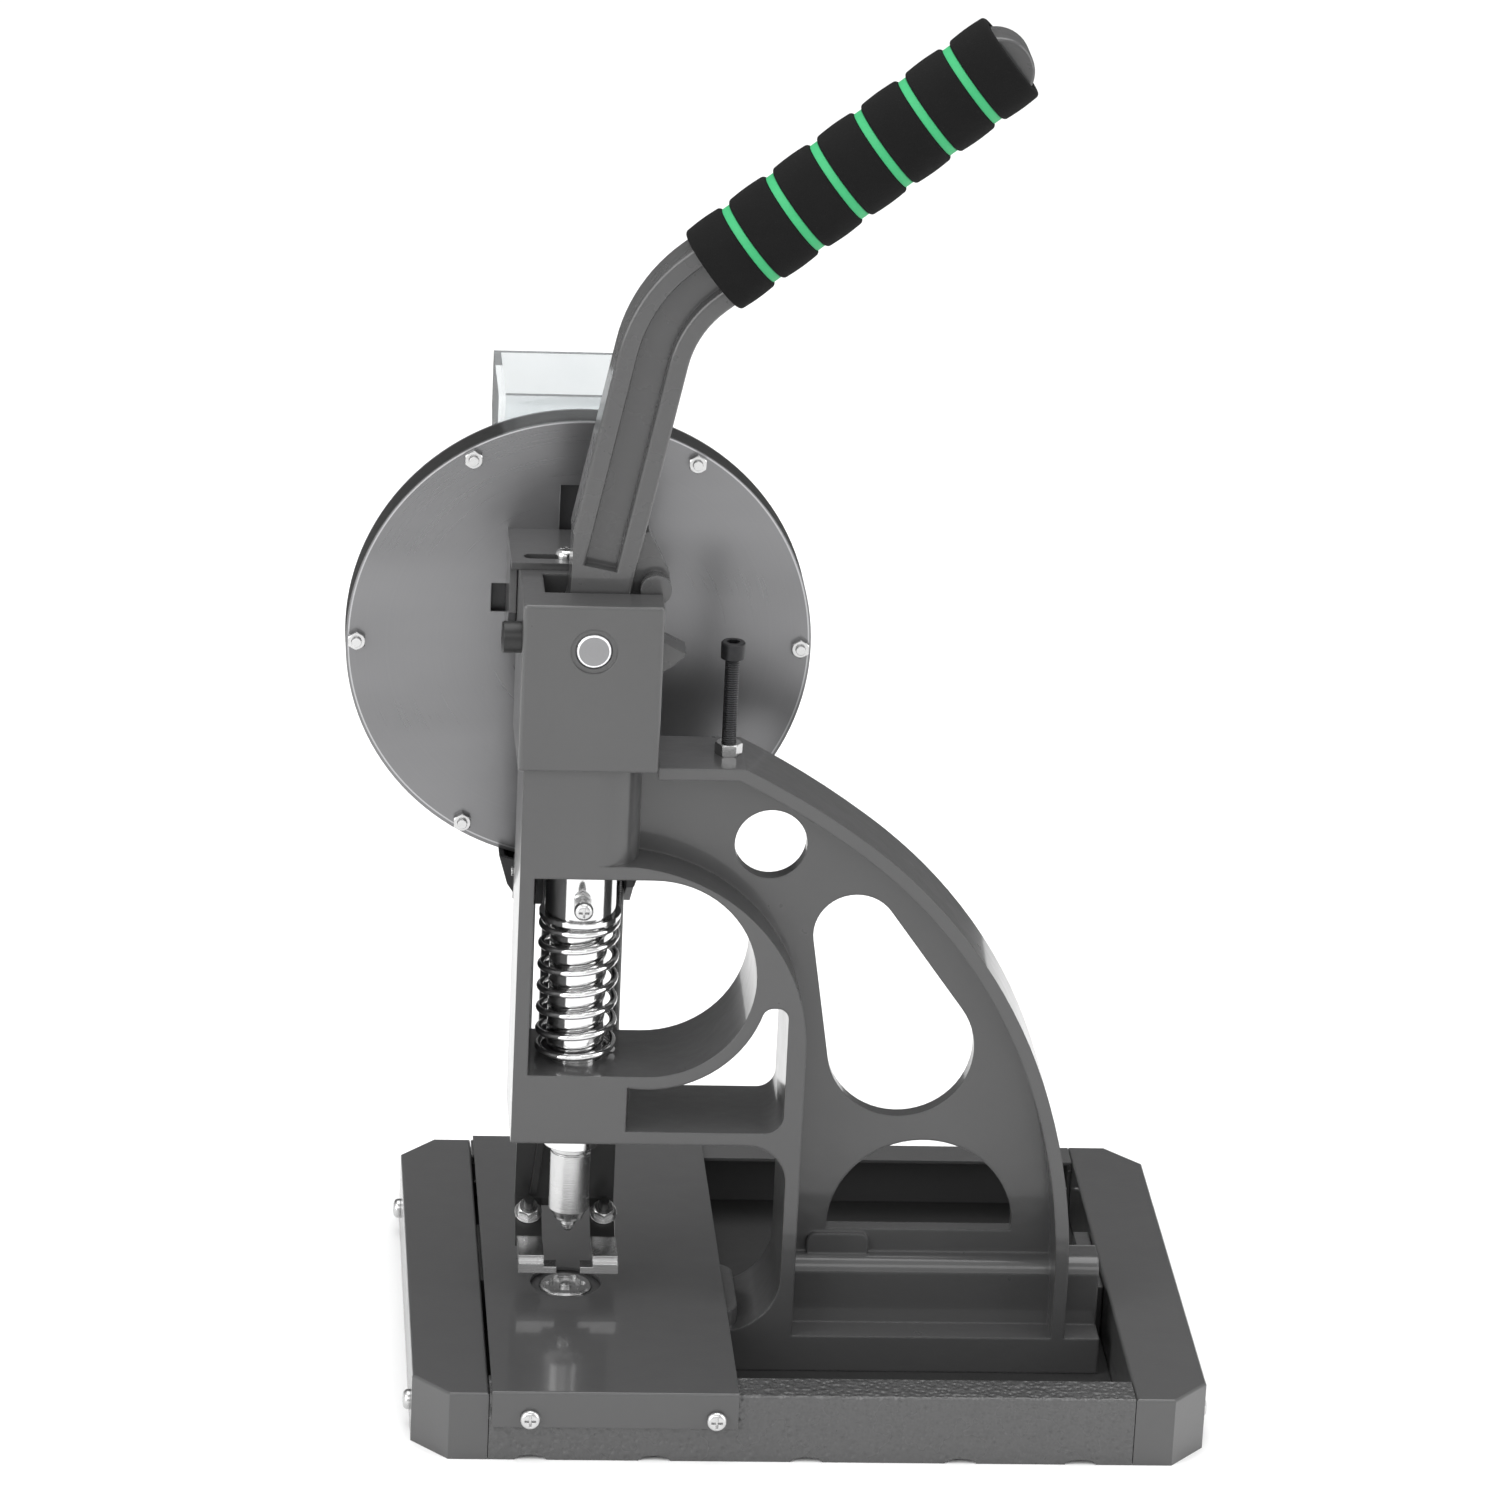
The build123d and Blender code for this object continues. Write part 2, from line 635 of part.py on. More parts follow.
with BuildPart() as tie_bolt_piece:
    with BuildSketch():
        RegularPolygon(5.0, 6, major_radius=False)
    extrude(amount=4.0)
    with BuildSketch():
        Circle(tie_bolt / 2)
    extrude(amount=-tie_length)
save(group([placed(tie_bolt_piece.part, (side * (base_length / 2 - cover_width + sheet), y, z), (side, 0, 0))
            for side in (-1, 1) for y, z in tie_places]), "tie_bolts")
tie_nut = hex_nut(10.0, 5.0, tie_bolt + 2 * running_fit)
ear_faces = {-1: wall_left + 6, 1: foot_right - 1}
save(group([placed(tie_nut, (ear_faces[side], y, z), (-side, 0, 0)) for side in (-1, 1) for y, z in tie_places]),
     "tie_nuts")

# ===== ram =====

with BuildPart() as ram_rod:
    nose_centre = pivot_z - nose_start
    shoulder = nose_centre - 12.0
    with BuildSketch(Plane.XY.offset(ram_bottom)):
        with Locations((ram_x, ram_y)):
            Circle(ram_diameter / 2)
    extrude(amount=shoulder - ram_bottom)
    with BuildSketch(front_plane(ram_y - 8.0)):
        with Locations((ram_x, nose_centre)):
            Circle(nose_radius)
        with Locations((ram_x, (nose_centre + shoulder) / 2 - 0.5)):
            Rectangle(2 * nose_radius, nose_centre - shoulder + 1)
    extrude(amount=-16.0)
    with BuildSketch(Plane.XY.offset(ram_bottom)):
        with Locations((ram_x, ram_y)):
            Circle(5.0 + running_fit)
    extrude(amount=16.0, mode=Mode.SUBTRACT)
save(ram_rod.part, "ram_rod")

with BuildPart() as ram_collar:
    with BuildSketch(Plane.XY.offset(collar_bottom)):
        with Locations((ram_x, ram_y)):
            Circle(collar_diameter / 2)
            Circle(ram_diameter / 2 + running_fit, mode=Mode.SUBTRACT)
    extrude(amount=collar_top - collar_bottom)
    chamfer(ram_collar.edges().filter_by(GeomType.CIRCLE).filter_by(lambda e: e.radius > 14.0), 0.6)
    with Locations(Plane((ram_x, ram_y - collar_diameter / 2, clamp_z), z_dir=(0, -1, 0)).location):
        Cylinder(2.0 + running_fit, 8.0, mode=Mode.SUBTRACT)
save(ram_collar.part, "ram_collar")

clamp_screw = pan_screw(8.0, 3.2, 4.0, 13.5)
clamp_face = ram_y - collar_diameter / 2
save(placed(clamp_screw, (ram_x, clamp_face - 11.0, clamp_z), (0, -1, 0)), "collar_screw")
clamp_nut = hex_nut(7.0, 3.2, 4.0 + 2 * running_fit)
save(placed(clamp_nut, (ram_x, clamp_face - 3.4, clamp_z), (0, 1, 0)), "collar_nut")

with BuildPart() as spring_washer:
    with BuildSketch(Plane.XY.offset(collar_bottom - 2.0)):
        with Locations((ram_x, ram_y)):
            Circle(spring_diameter / 2)
            Circle(ram_diameter / 2 + running_fit, mode=Mode.SUBTRACT)
    extrude(amount=2.0)
save(spring_washer.part, "spring_washer")

spring_top = collar_bottom - 2.0
spring_low = window_bottom
coil_radius = (spring_diameter - spring_wire) / 2
coil_height = spring_top - spring_low - spring_wire - 2 * free_gap
end_turns = 0.8
end_pitch = 1.03 * spring_wire
all_turns = spring_turns + 2 * end_turns
mid_pitch = (coil_height - 2 * end_turns * end_pitch) / spring_turns


def coil_rise(turn):
    """Height of the coil's centre line after a number of turns; both ends are wound close."""
    if turn < end_turns:
        return turn * end_pitch
    if turn > all_turns - end_turns:
        return coil_height - (all_turns - turn) * end_pitch
    return end_turns * end_pitch + (turn - end_turns) * mid_pitch


def coil_point(turn):
    """Point on the coil's centre line, its change of pitch eased over a fifth of a turn."""
    ease = min(0.1, turn, all_turns - turn)
    level = (coil_rise(turn - ease) + coil_rise(turn) + coil_rise(turn + ease)) / 3
    return (coil_radius * cos(2 * pi * turn), coil_radius * sin(2 * pi * turn), level)


with BuildPart() as ram_spring:
    steps = round(20 * all_turns)
    with BuildLine(Plane((ram_x, ram_y, spring_low + spring_wire / 2 + free_gap))):
        coil = Spline(*[coil_point(all_turns * i / steps) for i in range(steps + 1)])
    with BuildSketch(Plane(origin=coil @ 0, z_dir=coil % 0)):
        Circle(spring_wire / 2)
    sweep(path=coil, is_frenet=True)
save(ram_spring.part, "ram_spring")

with BuildPart() as upper_die:
    with BuildSketch(front_plane(ram_y)):
        with BuildLine():
            r = die_diameter / 2
            Polyline((ram_x, die_bottom), (ram_x + 6.0, die_bottom), (ram_x + 6.4, die_bottom + 1.2),
                     (ram_x + r, die_bottom + 4.6), (ram_x + r, die_top - 1.2), (ram_x + r - 0.5, die_top - 1.0),
                     (ram_x + r - 0.5, die_top - 0.6), (ram_x + r + 0.2, die_top), (ram_x + r + 0.2, ram_bottom),
                     (ram_x + 5.0, ram_bottom), (ram_x + 5.0, ram_bottom + 14.0), (ram_x, ram_bottom + 14.0),
                     close=True)
        make_face()
    revolve(axis=Axis((ram_x, ram_y, 0), (0, 0, 1)))
    with BuildSketch(Plane.XY.offset(die_bottom)):
        with Locations((ram_x, ram_y)):
            Circle(3.2 + running_fit)
    extrude(amount=20.0, mode=Mode.SUBTRACT)
save(upper_die.part, "upper_die")

with BuildPart() as die_pin:
    with BuildSketch(front_plane(ram_y)):
        with BuildLine():
            Polyline((ram_x, 56.2), (ram_x + 1.6, 56.2), (ram_x + 2.6, 57.4), (ram_x + 3.2, 59.5),
                     (ram_x + 3.2, die_bottom + 19.5), (ram_x, die_bottom + 19.5), close=True)
        make_face()
    revolve(axis=Axis((ram_x, ram_y, 0), (0, 0, 1)))
save(die_pin.part, "die_pin")

# ===== lever =====

lean = radians(lever_lean)
rise = radians(grip_rise)
shank_foot = (ram_x - 3.6, pivot_z)
bend_point = (shank_foot[0] + sin(lean) * 141.2, shank_foot[1] + cos(lean) * 141.2)
bar_end = (bend_point[0] + cos(rise) * handle_length, bend_point[1] + sin(rise) * handle_length)
lift_rate = ram_stroke / radians(lever_travel)


def cam_point(turn):
    """Point of the cam's working face, turn radians from the point that first bears on the ram."""
    pitch = nose_start + lift_rate * turn
    angle = turn - pi / 2
    slope = atan2(lift_rate, pitch)
    clear = nose_radius + free_gap
    return (ram_x + pitch * cos(angle) - clear * cos(angle - slope),
            pivot_z + pitch * sin(angle) - clear * sin(angle - slope))


with BuildPart() as lever:
    with BuildSketch(front_plane(ram_y - lever_thickness / 2)):
        with BuildLine() as bar_line:
            FilletPolyline(shank_foot, bend_point, bar_end, radius=bend_radius)
        trace(line_width=lever_width)
        with Locations(bar_end):
            Circle(lever_width / 2)
        with Locations((ram_x, pivot_z)):
            Circle(hub_radius)
    extrude(amount=-lever_thickness)
    # recessed web on both faces
    recess = (lever_thickness - lever_web) / 2
    recess_foot = (shank_foot[0] + sin(lean) * 30, shank_foot[1] + cos(lean) * 30)
    for y, direction in ((ram_y - lever_thickness / 2, -1), (ram_y + lever_thickness / 2, 1)):
        with BuildSketch(front_plane(y)):
            with BuildLine():
                FilletPolyline(recess_foot, bend_point, bar_end, radius=bend_radius)
            trace(line_width=lever_width - 2 * lever_flange)
            with BuildSketch(Plane.XY, mode=Mode.SUBTRACT):
                with Locations((shank_foot[0] + 8, pivot_z + 12)):
                    Rectangle(60.0, 24.0, rotation=24.0)
        extrude(amount=direction * recess, mode=Mode.SUBTRACT)
    fillet(lever.edges().filter_by(lambda e: e.center().Z > pivot_z + 30
                                   and abs(abs(e.center().Y - ram_y) - lever_thickness / 2) < 0.05
                                   and e.length > 20), 1.6)
    # flat back above the hub
    with BuildSketch(front_plane(ram_y - lever_thickness / 2 - 1)):
        with BuildLine():
            Polyline((ram_x - 40.0, pivot_z + 8.0), (ram_x - 12.0, pivot_z + 9.5), (ram_x - 9.6, pivot_z + 16.0),
                     (ram_x - 9.0, pivot_z + 44.0), (ram_x - 40.0, pivot_z + 46.0), close=True)
        make_face()
    extrude(amount=-lever_thickness - 2, mode=Mode.SUBTRACT)
    # lug with its cross boss, on the arch side
    with BuildSketch(front_plane(ram_y - 4.0)):
        with BuildLine():
            Polyline((ram_x + 6.0, pivot_z + 6.0), (ram_x + 30.0, pivot_z + 14.0), (ram_x + 31.0, pivot_z + 26.0),
                     (ram_x + 22.0, pivot_z + 44.0), (ram_x + 12.0, pivot_z + 40.0), close=True)
        make_face()
    extrude(amount=-8.0)
    with BuildSketch(front_plane(ram_y - 10.0)):
        with Locations((ram_x + 25.4, pivot_z + 20.6)):
            Circle(6.4)
    extrude(amount=-20.0)
    # cam
    with BuildSketch(front_plane(ram_y - 7.5)):
        cam_end = radians(lever_travel) + 0.12
        cam_points = [cam_point(-0.12 + (cam_end + 0.12) * i / 12) for i in range(13)]
        with BuildLine():
            face = Spline(*cam_points)
            Polyline(face @ 1, (ram_x + 12.0, pivot_z + 6.0), (ram_x - 6.0, pivot_z + 6.0), face @ 0)
        make_face()
    extrude(amount=-15.0)
    # bore for the pivot pin
    with BuildSketch(front_plane(ram_y - 12.0)):
        with Locations((ram_x, pivot_z)):
            Circle(pin_diameter / 2 + running_fit)
    extrude(amount=-24.0, mode=Mode.SUBTRACT)
    # clear the hub round the ram's nose
    with BuildSketch(front_plane(ram_y - 12.0)):
        with Locations((ram_x, pivot_z)):
            Circle(60.0)
        with Locations((ram_x, pivot_z)):
            Circle(nose_start - nose_radius - free_gap, mode=Mode.SUBTRACT)
        with BuildSketch(mode=Mode.SUBTRACT):
            with BuildLine():
                clear_face = Spline(*cam_points)
                Polyline(clear_face @ 1, (ram_x + 60.0, pivot_z - 12.0), (ram_x + 60.0, pivot_z + 61.0),
                         (ram_x - 61.0, pivot_z + 61.0), (ram_x - 61.0, pivot_z - 4.0), clear_face @ 0)
            make_face()
    extrude(amount=-24.0, mode=Mode.SUBTRACT)
save(lever.part, "lever")

# grip: foam segments with soft rings between them, threaded on the bar
grip_axis = Vector(cos(rise), 0, sin(rise))
bar_origin = Vector(bend_point[0], ram_y, bend_point[1])


def grip_piece(start, length, radius):
    """One foam piece round the bar, start millimetres along the handle from the bend."""
    with BuildPart() as piece:
        with BuildSketch():
            Circle(radius)
            RectangleRounded(lever_width + 2 * grip_gap, lever_thickness + 2 * grip_gap, 1.6, mode=Mode.SUBTRACT)
        extrude(amount=length)
        if length > 2 * ring_length:
            fillet(piece.edges().filter_by(GeomType.CIRCLE).filter_by(lambda e: e.radius > radius - 1), 1.4)
    origin = bar_origin + grip_axis * start
    return placed(piece.part, tuple(origin), tuple(grip_axis), (-sin(rise), 0, cos(rise)))


segments = []
rings = []
station = grip_start
lengths = [end_segment] + [mid_segment] * mid_segments + [end_segment]
for index, length in enumerate(lengths):
    segments.append(grip_piece(station, length, grip_diameter / 2))
    station += length
    if index < len(lengths) - 1:
        rings.append(grip_piece(station, ring_length, grip_diameter / 2 - ring_recess))
        station += ring_length
save(group(segments), "grip_segments")
save(group(rings), "grip_rings")

# ===== drum feeder =====

def drum_disc(y0, thickness, outer, inner=0.0):
    """Disc or ring of the drum, its near face at depth y0."""
    with BuildPart() as disc:
        with BuildSketch(front_plane(y0)):
            with Locations((drum_x, drum_z)):
                Circle(outer)
                if inner > 0:
                    Circle(inner, mode=Mode.SUBTRACT)
        extrude(amount=-thickness)
    return disc.part


def drilled(part, y0, thickness, diameter):
    """The same piece with the drum's six bolt holes through it."""
    with BuildPart() as piece:
        add(part)
        with BuildSketch(front_plane(y0 - 1)):
            with Locations((drum_x, drum_z)):
                with PolarLocations(drum_bolt_circle, 6):
                    Circle(diameter / 2)
        extrude(amount=-thickness - 2, mode=Mode.SUBTRACT)
    return piece.part


bolt_hole = drum_bolt_diameter + 2 * running_fit
ring_y = drum_front + drum_plate
cover_y = ring_y + drum_ring
drum_back = cover_y + drum_plate
with BuildPart() as drum_plate_piece:
    add(drilled(drum_disc(drum_front, drum_plate, drum_radius), drum_front, drum_plate, bolt_hole))
    with BuildSketch(front_plane(drum_front - 1)):
        with Locations((drum_x, drum_z)):
            Circle(shaft_diameter / 2 + 2.0)
        with Locations((-100.8, 357.5)):
            Rectangle(17.0, 21.0)
        with Locations((-129.6, 318.0)):
            Rectangle(14.0, 12.5)
        with Locations(*[(bracket_screw_x, z) for z in bracket_screw_z]):
            Circle(bracket_screw / 2 + running_fit)
    extrude(amount=-drum_plate - 2, mode=Mode.SUBTRACT)
save(drum_plate_piece.part, "drum_plate")

outlet_width = rail_width + 6.0
with BuildPart() as drum_ring_piece:
    add(drilled(drum_disc(ring_y, drum_ring, drum_radius, drum_radius - drum_ring_wall), ring_y, drum_ring, bolt_hole))
    with BuildSketch(front_plane(ring_y - 1)):
        with Locations((drum_x, drum_z - drum_radius)):
            Rectangle(outlet_width, 3 * drum_ring_wall)
    extrude(amount=-drum_ring - 2, mode=Mode.SUBTRACT)
save(drum_ring_piece.part, "drum_ring")

hopper_middle = (hopper_left + hopper_right) / 2
with BuildPart() as drum_cover:
    add(drilled(drum_disc(cover_y, drum_plate, drum_radius), cover_y, drum_plate, bolt_hole))
    with BuildSketch(front_plane(cover_y - 1)):
        with Locations((hopper_middle, hopper_bottom + 14.0)):
            RectangleRounded(46.0, 22.0, 3.0)
        with Locations((drum_x, drum_z)):
            Circle(shaft_diameter / 2 + 2.0)
    extrude(amount=-drum_plate - 2, mode=Mode.SUBTRACT)
save(drum_cover.part, "drum_cover")

drum_screw = pan_screw(7.0, 2.6, drum_bolt_diameter, drum_back - drum_front + 5.0)
drum_nut = hex_nut(7.0, 3.2, drum_bolt_diameter + 2 * running_fit)
bolt_angles = [i * pi / 3 for i in range(6)]
bolt_spots = [(drum_x + drum_bolt_circle * cos(a), drum_z + drum_bolt_circle * sin(a)) for a in bolt_angles]
save(group([placed(drum_screw, (x, drum_back, z), (0, 1, 0)) for x, z in bolt_spots]), "drum_screws")
save(group([placed(drum_nut, (x, drum_front, z), (0, -1, 0)) for x, z in bolt_spots]), "drum_nuts")

with BuildPart() as rotor_bush:
    add(drum_disc(drum_front - 3.0, 3.0, 9.0, shaft_diameter / 2 + running_fit))
    add(drum_disc(drum_front, drum_plate, shaft_diameter / 2 + 1.9, shaft_diameter / 2 + running_fit))
save(rotor_bush.part, "rotor_bush")
with BuildPart() as cover_bush:
    add(drum_disc(drum_back, 3.0, 9.0, shaft_diameter / 2 + running_fit))
    add(drum_disc(cover_y, drum_plate, shaft_diameter / 2 + 1.9, shaft_diameter / 2 + running_fit))
save(cover_bush.part, "cover_bush")

rotor_y = ring_y + 2.0
save(drum_disc(drum_front - 5.0, drum_back - drum_front + 12.0, shaft_diameter / 2), "rotor_shaft")
with BuildPart() as rotor_disc:
    add(drum_disc(rotor_y, 3.0, rotor_radius - 12.0, shaft_diameter / 2 + running_fit))
    add(drum_disc(rotor_y + 3.0, 6.0, 14.0, shaft_diameter / 2 + running_fit))
    with BuildSketch(front_plane(rotor_y - 1)):
        with Locations((drum_x, drum_z)):
            with PolarLocations(44.0, 6):
                Circle(11.0)
    extrude(amount=-5.0, mode=Mode.SUBTRACT)
save(rotor_disc.part, "rotor_disc")
save(drum_disc(rotor_y, rotor_thickness, rotor_radius, rotor_radius - 12.0 + running_fit), "rotor_brush")
with BuildPart() as ratchet_wheel:
    with BuildSketch(front_plane(rotor_y + 9.2)):
        teeth = 24
        with BuildLine():
            profile = []
            for i in range(teeth):
                for share, radius in ((0.0, 24.0), (0.85, 27.5)):
                    turn = 2 * pi * (i + share) / teeth
                    profile.append((drum_x + radius * cos(turn), drum_z + radius * sin(turn)))
            Polyline(*profile, close=True)
        make_face()
        with Locations((drum_x, drum_z)):
            Circle(shaft_diameter / 2 + running_fit, mode=Mode.SUBTRACT)
    extrude(amount=-2.5)
save(ratchet_wheel.part, "ratchet_wheel")

with BuildPart() as hopper:
    y0 = drum_back + 0.1
    mouth = y0 + hopper_depth
    with BuildSketch(Plane.YZ.offset(hopper_left)):
        with BuildLine():
            Polyline((y0, hopper_bottom), (y0, hopper_top), (mouth, hopper_top), (mouth, hopper_top - 24.0),
                     (y0 + 14.0, hopper_bottom), close=True)
        make_face()
    extrude(amount=hopper_right - hopper_left)
    with BuildSketch(Plane.YZ.offset(hopper_left + hopper_wall)):
        with BuildLine():
            Polyline((y0 + hopper_wall, hopper_bottom + hopper_wall), (y0 + hopper_wall, hopper_top + 1),
                     (mouth - hopper_wall, hopper_top + 1), (mouth - hopper_wall, hopper_top - 22.5),
                     (y0 + 12.5, hopper_bottom + hopper_wall), close=True)
        make_face()
    extrude(amount=hopper_right - hopper_left - 2 * hopper_wall, mode=Mode.SUBTRACT)
    with BuildSketch(front_plane(y0 - 1)):
        with Locations((hopper_middle, hopper_bottom + 14.0)):
            RectangleRounded(46.0, 22.0, 3.0)
    extrude(amount=-hopper_wall - 1.5, mode=Mode.SUBTRACT)
save(hopper.part, "hopper")

# bracket that carries the drum on the head
bracket_top = head_top + bracket_thickness
drum_side = drum_front
with BuildPart() as feeder_bracket:
    with BuildSketch(Plane.XY.offset(head_top)):
        with Locations(((bracket_left + bracket_right) / 2, (bracket_front + drum_side) / 2)):
            Rectangle(bracket_right - bracket_left, drum_side - bracket_front)
        with Locations(((bracket_left + bracket_right) / 2 + 2, slot_y)):
            SlotOverall(38.0, slot_screw_diameter + 1.0, mode=Mode.SUBTRACT)
    extrude(amount=bracket_thickness)
    with BuildSketch(Plane.YZ.offset(bracket_left)):
        with BuildLine():
            Polyline((head_far + 1.0, head_top + 1), (head_far + 1.0, 322.0), (drum_side - 8.0, 300.0),
                     (drum_side, 300.0), (drum_side, head_top + 1), close=True)
        make_face()
    extrude(amount=bracket_thickness)
    with BuildSketch(front_plane(drum_side - bracket_thickness)):
        with Locations((-122.0, 324.0)):
            Rectangle(2 * (-122.0 - bracket_left), 46.0)
    extrude(amount=-bracket_thickness)
    with Locations(*[Plane((bracket_screw_x, drum_side, z), z_dir=(0, -1, 0)).location
                     for z in bracket_screw_z]):
        Cylinder(bracket_screw / 2 + running_fit, 20.0, mode=Mode.SUBTRACT)
save(feeder_bracket.part, "feeder_bracket")

slot_screw = pan_screw(9.0, 3.4, slot_screw_diameter, slot_screw_length)
slot_screws = [placed(slot_screw, (x, slot_y, bracket_top)) for x in slot_screw_x]
save(group(slot_screws), "bracket_slot_screws")
drum_side_screw = pan_screw(7.5, 2.8, bracket_screw, bracket_thickness + drum_plate + 0.4)
save(group([placed(drum_side_screw, (bracket_screw_x, drum_side - bracket_thickness, z), (0, -1, 0))
            for z in bracket_screw_z]), "bracket_drum_screws")

# funnel under the drum's outlet, with the ears that carry the chute's hinge pin
funnel_top = 222.0
funnel_bottom = 184.0
funnel_near = 27.0
funnel_far = 53.5
funnel_wall = 2.0


def funnel_outline(inset):
    """Funnel seen from the front, moved inwards by inset."""
    with BuildSketch() as outline:
        with BuildLine():
            half = 32.5 - inset
            low = 21.0 - inset
            bottom = funnel_bottom - (1 if inset else 0)
            Polyline((drum_x - half, funnel_top), (drum_x - half + 0.5, 210.0), (drum_x - half + 5.5, 193.0),
                     (drum_x - low, bottom), (drum_x + low, bottom), (drum_x + half - 5.5, 193.0),
                     (drum_x + half - 0.5, 210.0), (drum_x + half, funnel_top), close=True)
        make_face()
    return outline.sketch


ear_reach = chute_pivot_y - 5.0
with BuildPart() as funnel:
    with BuildSketch(front_plane(funnel_near)):
        add(funnel_outline(0))
    extrude(amount=funnel_near - funnel_far)
    with BuildSketch(front_plane(funnel_near + funnel_wall)):
        add(funnel_outline(funnel_wall))
    extrude(amount=funnel_near - funnel_far + 2 * funnel_wall, mode=Mode.SUBTRACT)
    with BuildSketch(front_plane(funnel_near - 1)):
        with Locations((drum_x, drum_z)):
            Circle(drum_radius + 0.1)
    extrude(amount=-60.0, mode=Mode.SUBTRACT)
    with BuildSketch(front_plane(funnel_near - 1)):
        with Locations((drum_x, funnel_top)):
            Rectangle(80.0, 2 * (funnel_top - 206.5))
    extrude(amount=-60.0, mode=Mode.SUBTRACT)
    for x in (drum_x - 24.5, drum_x + 22.3):
        with BuildSketch(Plane.YZ.offset(x)):
            with BuildLine():
                Polyline((funnel_near + 1, 186.0), (ear_reach, chute_pivot_z - 4.5), (ear_reach, chute_pivot_z + 4.5),
                         (funnel_near + 1, 206.5 - 0.5), close=True)
            make_face()
        extrude(amount=3.0)
    with Locations(Plane((drum_x, chute_pivot_y, chute_pivot_z), z_dir=(1, 0, 0)).location):
        Cylinder(chute_pin / 2 + running_fit, 80.0, mode=Mode.SUBTRACT)
save(funnel.part, "funnel")

spring_x = (-116.3, -79.2)
pin_half = 26.0
with BuildPart() as hinge_pin:
    with BuildSketch(Plane.YZ.offset(drum_x - pin_half)):
        with Locations((chute_pivot_y, chute_pivot_z)):
            Circle(chute_pin / 2)
    extrude(amount=2 * pin_half)
save(hinge_pin.part, "chute_hinge_pin")

# ===== chute, fingers and their springs =====

rail_x = ram_x - 0.5
plate_back = 4.5
plate_front = plate_back - chute_plate
plate_top = 104.0
plate_foot = 58.0
rail_line = plate_back + rail_thickness / 2 + running_fit
rail_end = 62.0
track_depth = 2.0
track_width = 14.0
slope = radians(foot_slope)
foot_tip = -15.5
stud_x = (ram_x - 16.0, ram_x + 16.0)
stud_diameter = 4.0
stud_y = -4.0
finger_front = -38.4
finger_top = 49.5
finger_tab = 2.9


def under_foot(y, gap=0.0):
    """Point under the foot's sloping leg at depth y, gap below it."""
    return (y, plate_foot - (plate_back - y) * tan(slope) - gap / cos(slope))


with BuildPart() as chute_rail:
    with BuildSketch(Plane.YZ.offset(rail_x - rail_width / 2)):
        with BuildLine():
            FilletPolyline((chute_pivot_y, chute_pivot_z), (chute_pivot_y + 0.5, 150.0), (rail_line, plate_top),
                           (rail_line, rail_end), radius=60.0)
        trace(line_width=rail_thickness)
        with Locations((chute_pivot_y, chute_pivot_z)):
            Circle(4.5)
    extrude(amount=rail_width)
    # eyelet track down the front of the rail
    with BuildSketch(Plane.YZ.offset(rail_x - track_width / 2)):
        with BuildLine():
            shift = rail_thickness / 2
            FilletPolyline((chute_pivot_y - shift, chute_pivot_z - 8), (chute_pivot_y + 0.5 - shift, 150.0),
                           (rail_line - shift, plate_top), (rail_line - shift, rail_end - 4), radius=60.0)
        trace(line_width=2 * track_depth)
    extrude(amount=track_width, mode=Mode.SUBTRACT)
    with Locations(Plane((rail_x, chute_pivot_y, chute_pivot_z), z_dir=(1, 0, 0)).location):
        Cylinder(chute_pin / 2 + running_fit, 80.0, mode=Mode.SUBTRACT)
save(chute_rail.part, "chute_rail")

stud_dir = (0, -sin(slope), cos(slope))
stud_middle = under_foot(stud_y, -chute_plate / 2)
stud_spots = [Vector(x, stud_middle[0], stud_middle[1]) for x in stud_x]
with BuildPart() as chute_foot:
    with BuildSketch(Plane.YZ.offset(rail_x - plate_width / 2)):
        with BuildLine():
            Polyline((plate_front, plate_top), (plate_back, plate_top), under_foot(plate_back), under_foot(foot_tip),
                     under_foot(foot_tip, -chute_plate), (plate_front, under_foot(plate_front, -chute_plate)[1]),
                     close=True)
        make_face()
    extrude(amount=plate_width)
    with BuildSketch(front_plane(foot_tip - 5.0)):
        with Locations((ram_x, 46.0)):
            Rectangle(finger_gap, 34.0)
    extrude(amount=-21.9, mode=Mode.SUBTRACT)
    with Locations(*[Plane(spot, z_dir=stud_dir).location for spot in stud_spots]):
        Cylinder(stud_diameter / 2 + running_fit, 20.0, mode=Mode.SUBTRACT)
save(chute_foot.part, "chute_foot")


def finger(side):
    """Stepped steel finger under one leg of the chute's foot; side is -1 left, +1 right."""
    inner = ram_x + side * finger_gap / 2
    outer = ram_x + side * 21.0
    tip = ram_x + side * tip_gap / 2
    reach = foot_tip - free_gap
    with BuildPart() as piece:
        with BuildSketch(Plane.YZ.offset(min(inner, outer))):
            with BuildLine():
                Polyline((finger_front + 3.0, finger_top), (reach, finger_top), under_foot(reach), under_foot(2.0),
                         under_foot(2.0, finger_tab), under_foot(reach - 2.0, finger_tab),
                         (finger_front + 12.0, finger_z - 2.5), (finger_front + 9.0, finger_z - 4.4),
                         (finger_front, finger_z - 4.4), (finger_front, finger_z), (finger_front + 3.0, finger_z),
                         close=True)
            make_face()
        extrude(amount=abs(outer - inner))
        with BuildSketch(Plane.XY.offset(finger_z - 4.4)):
            with Locations(((tip + outer) / 2, finger_front + 3.5)):
                Rectangle(abs(outer - tip), 7.0)
        extrude(amount=3.0)
        with Locations(*[Plane(spot, z_dir=stud_dir).location for spot in stud_spots]):
            Cylinder(stud_diameter / 2 + running_fit, 30.0, mode=Mode.SUBTRACT)
    return piece.part


save(finger(-1), "finger_left")
save(finger(1), "finger_right")

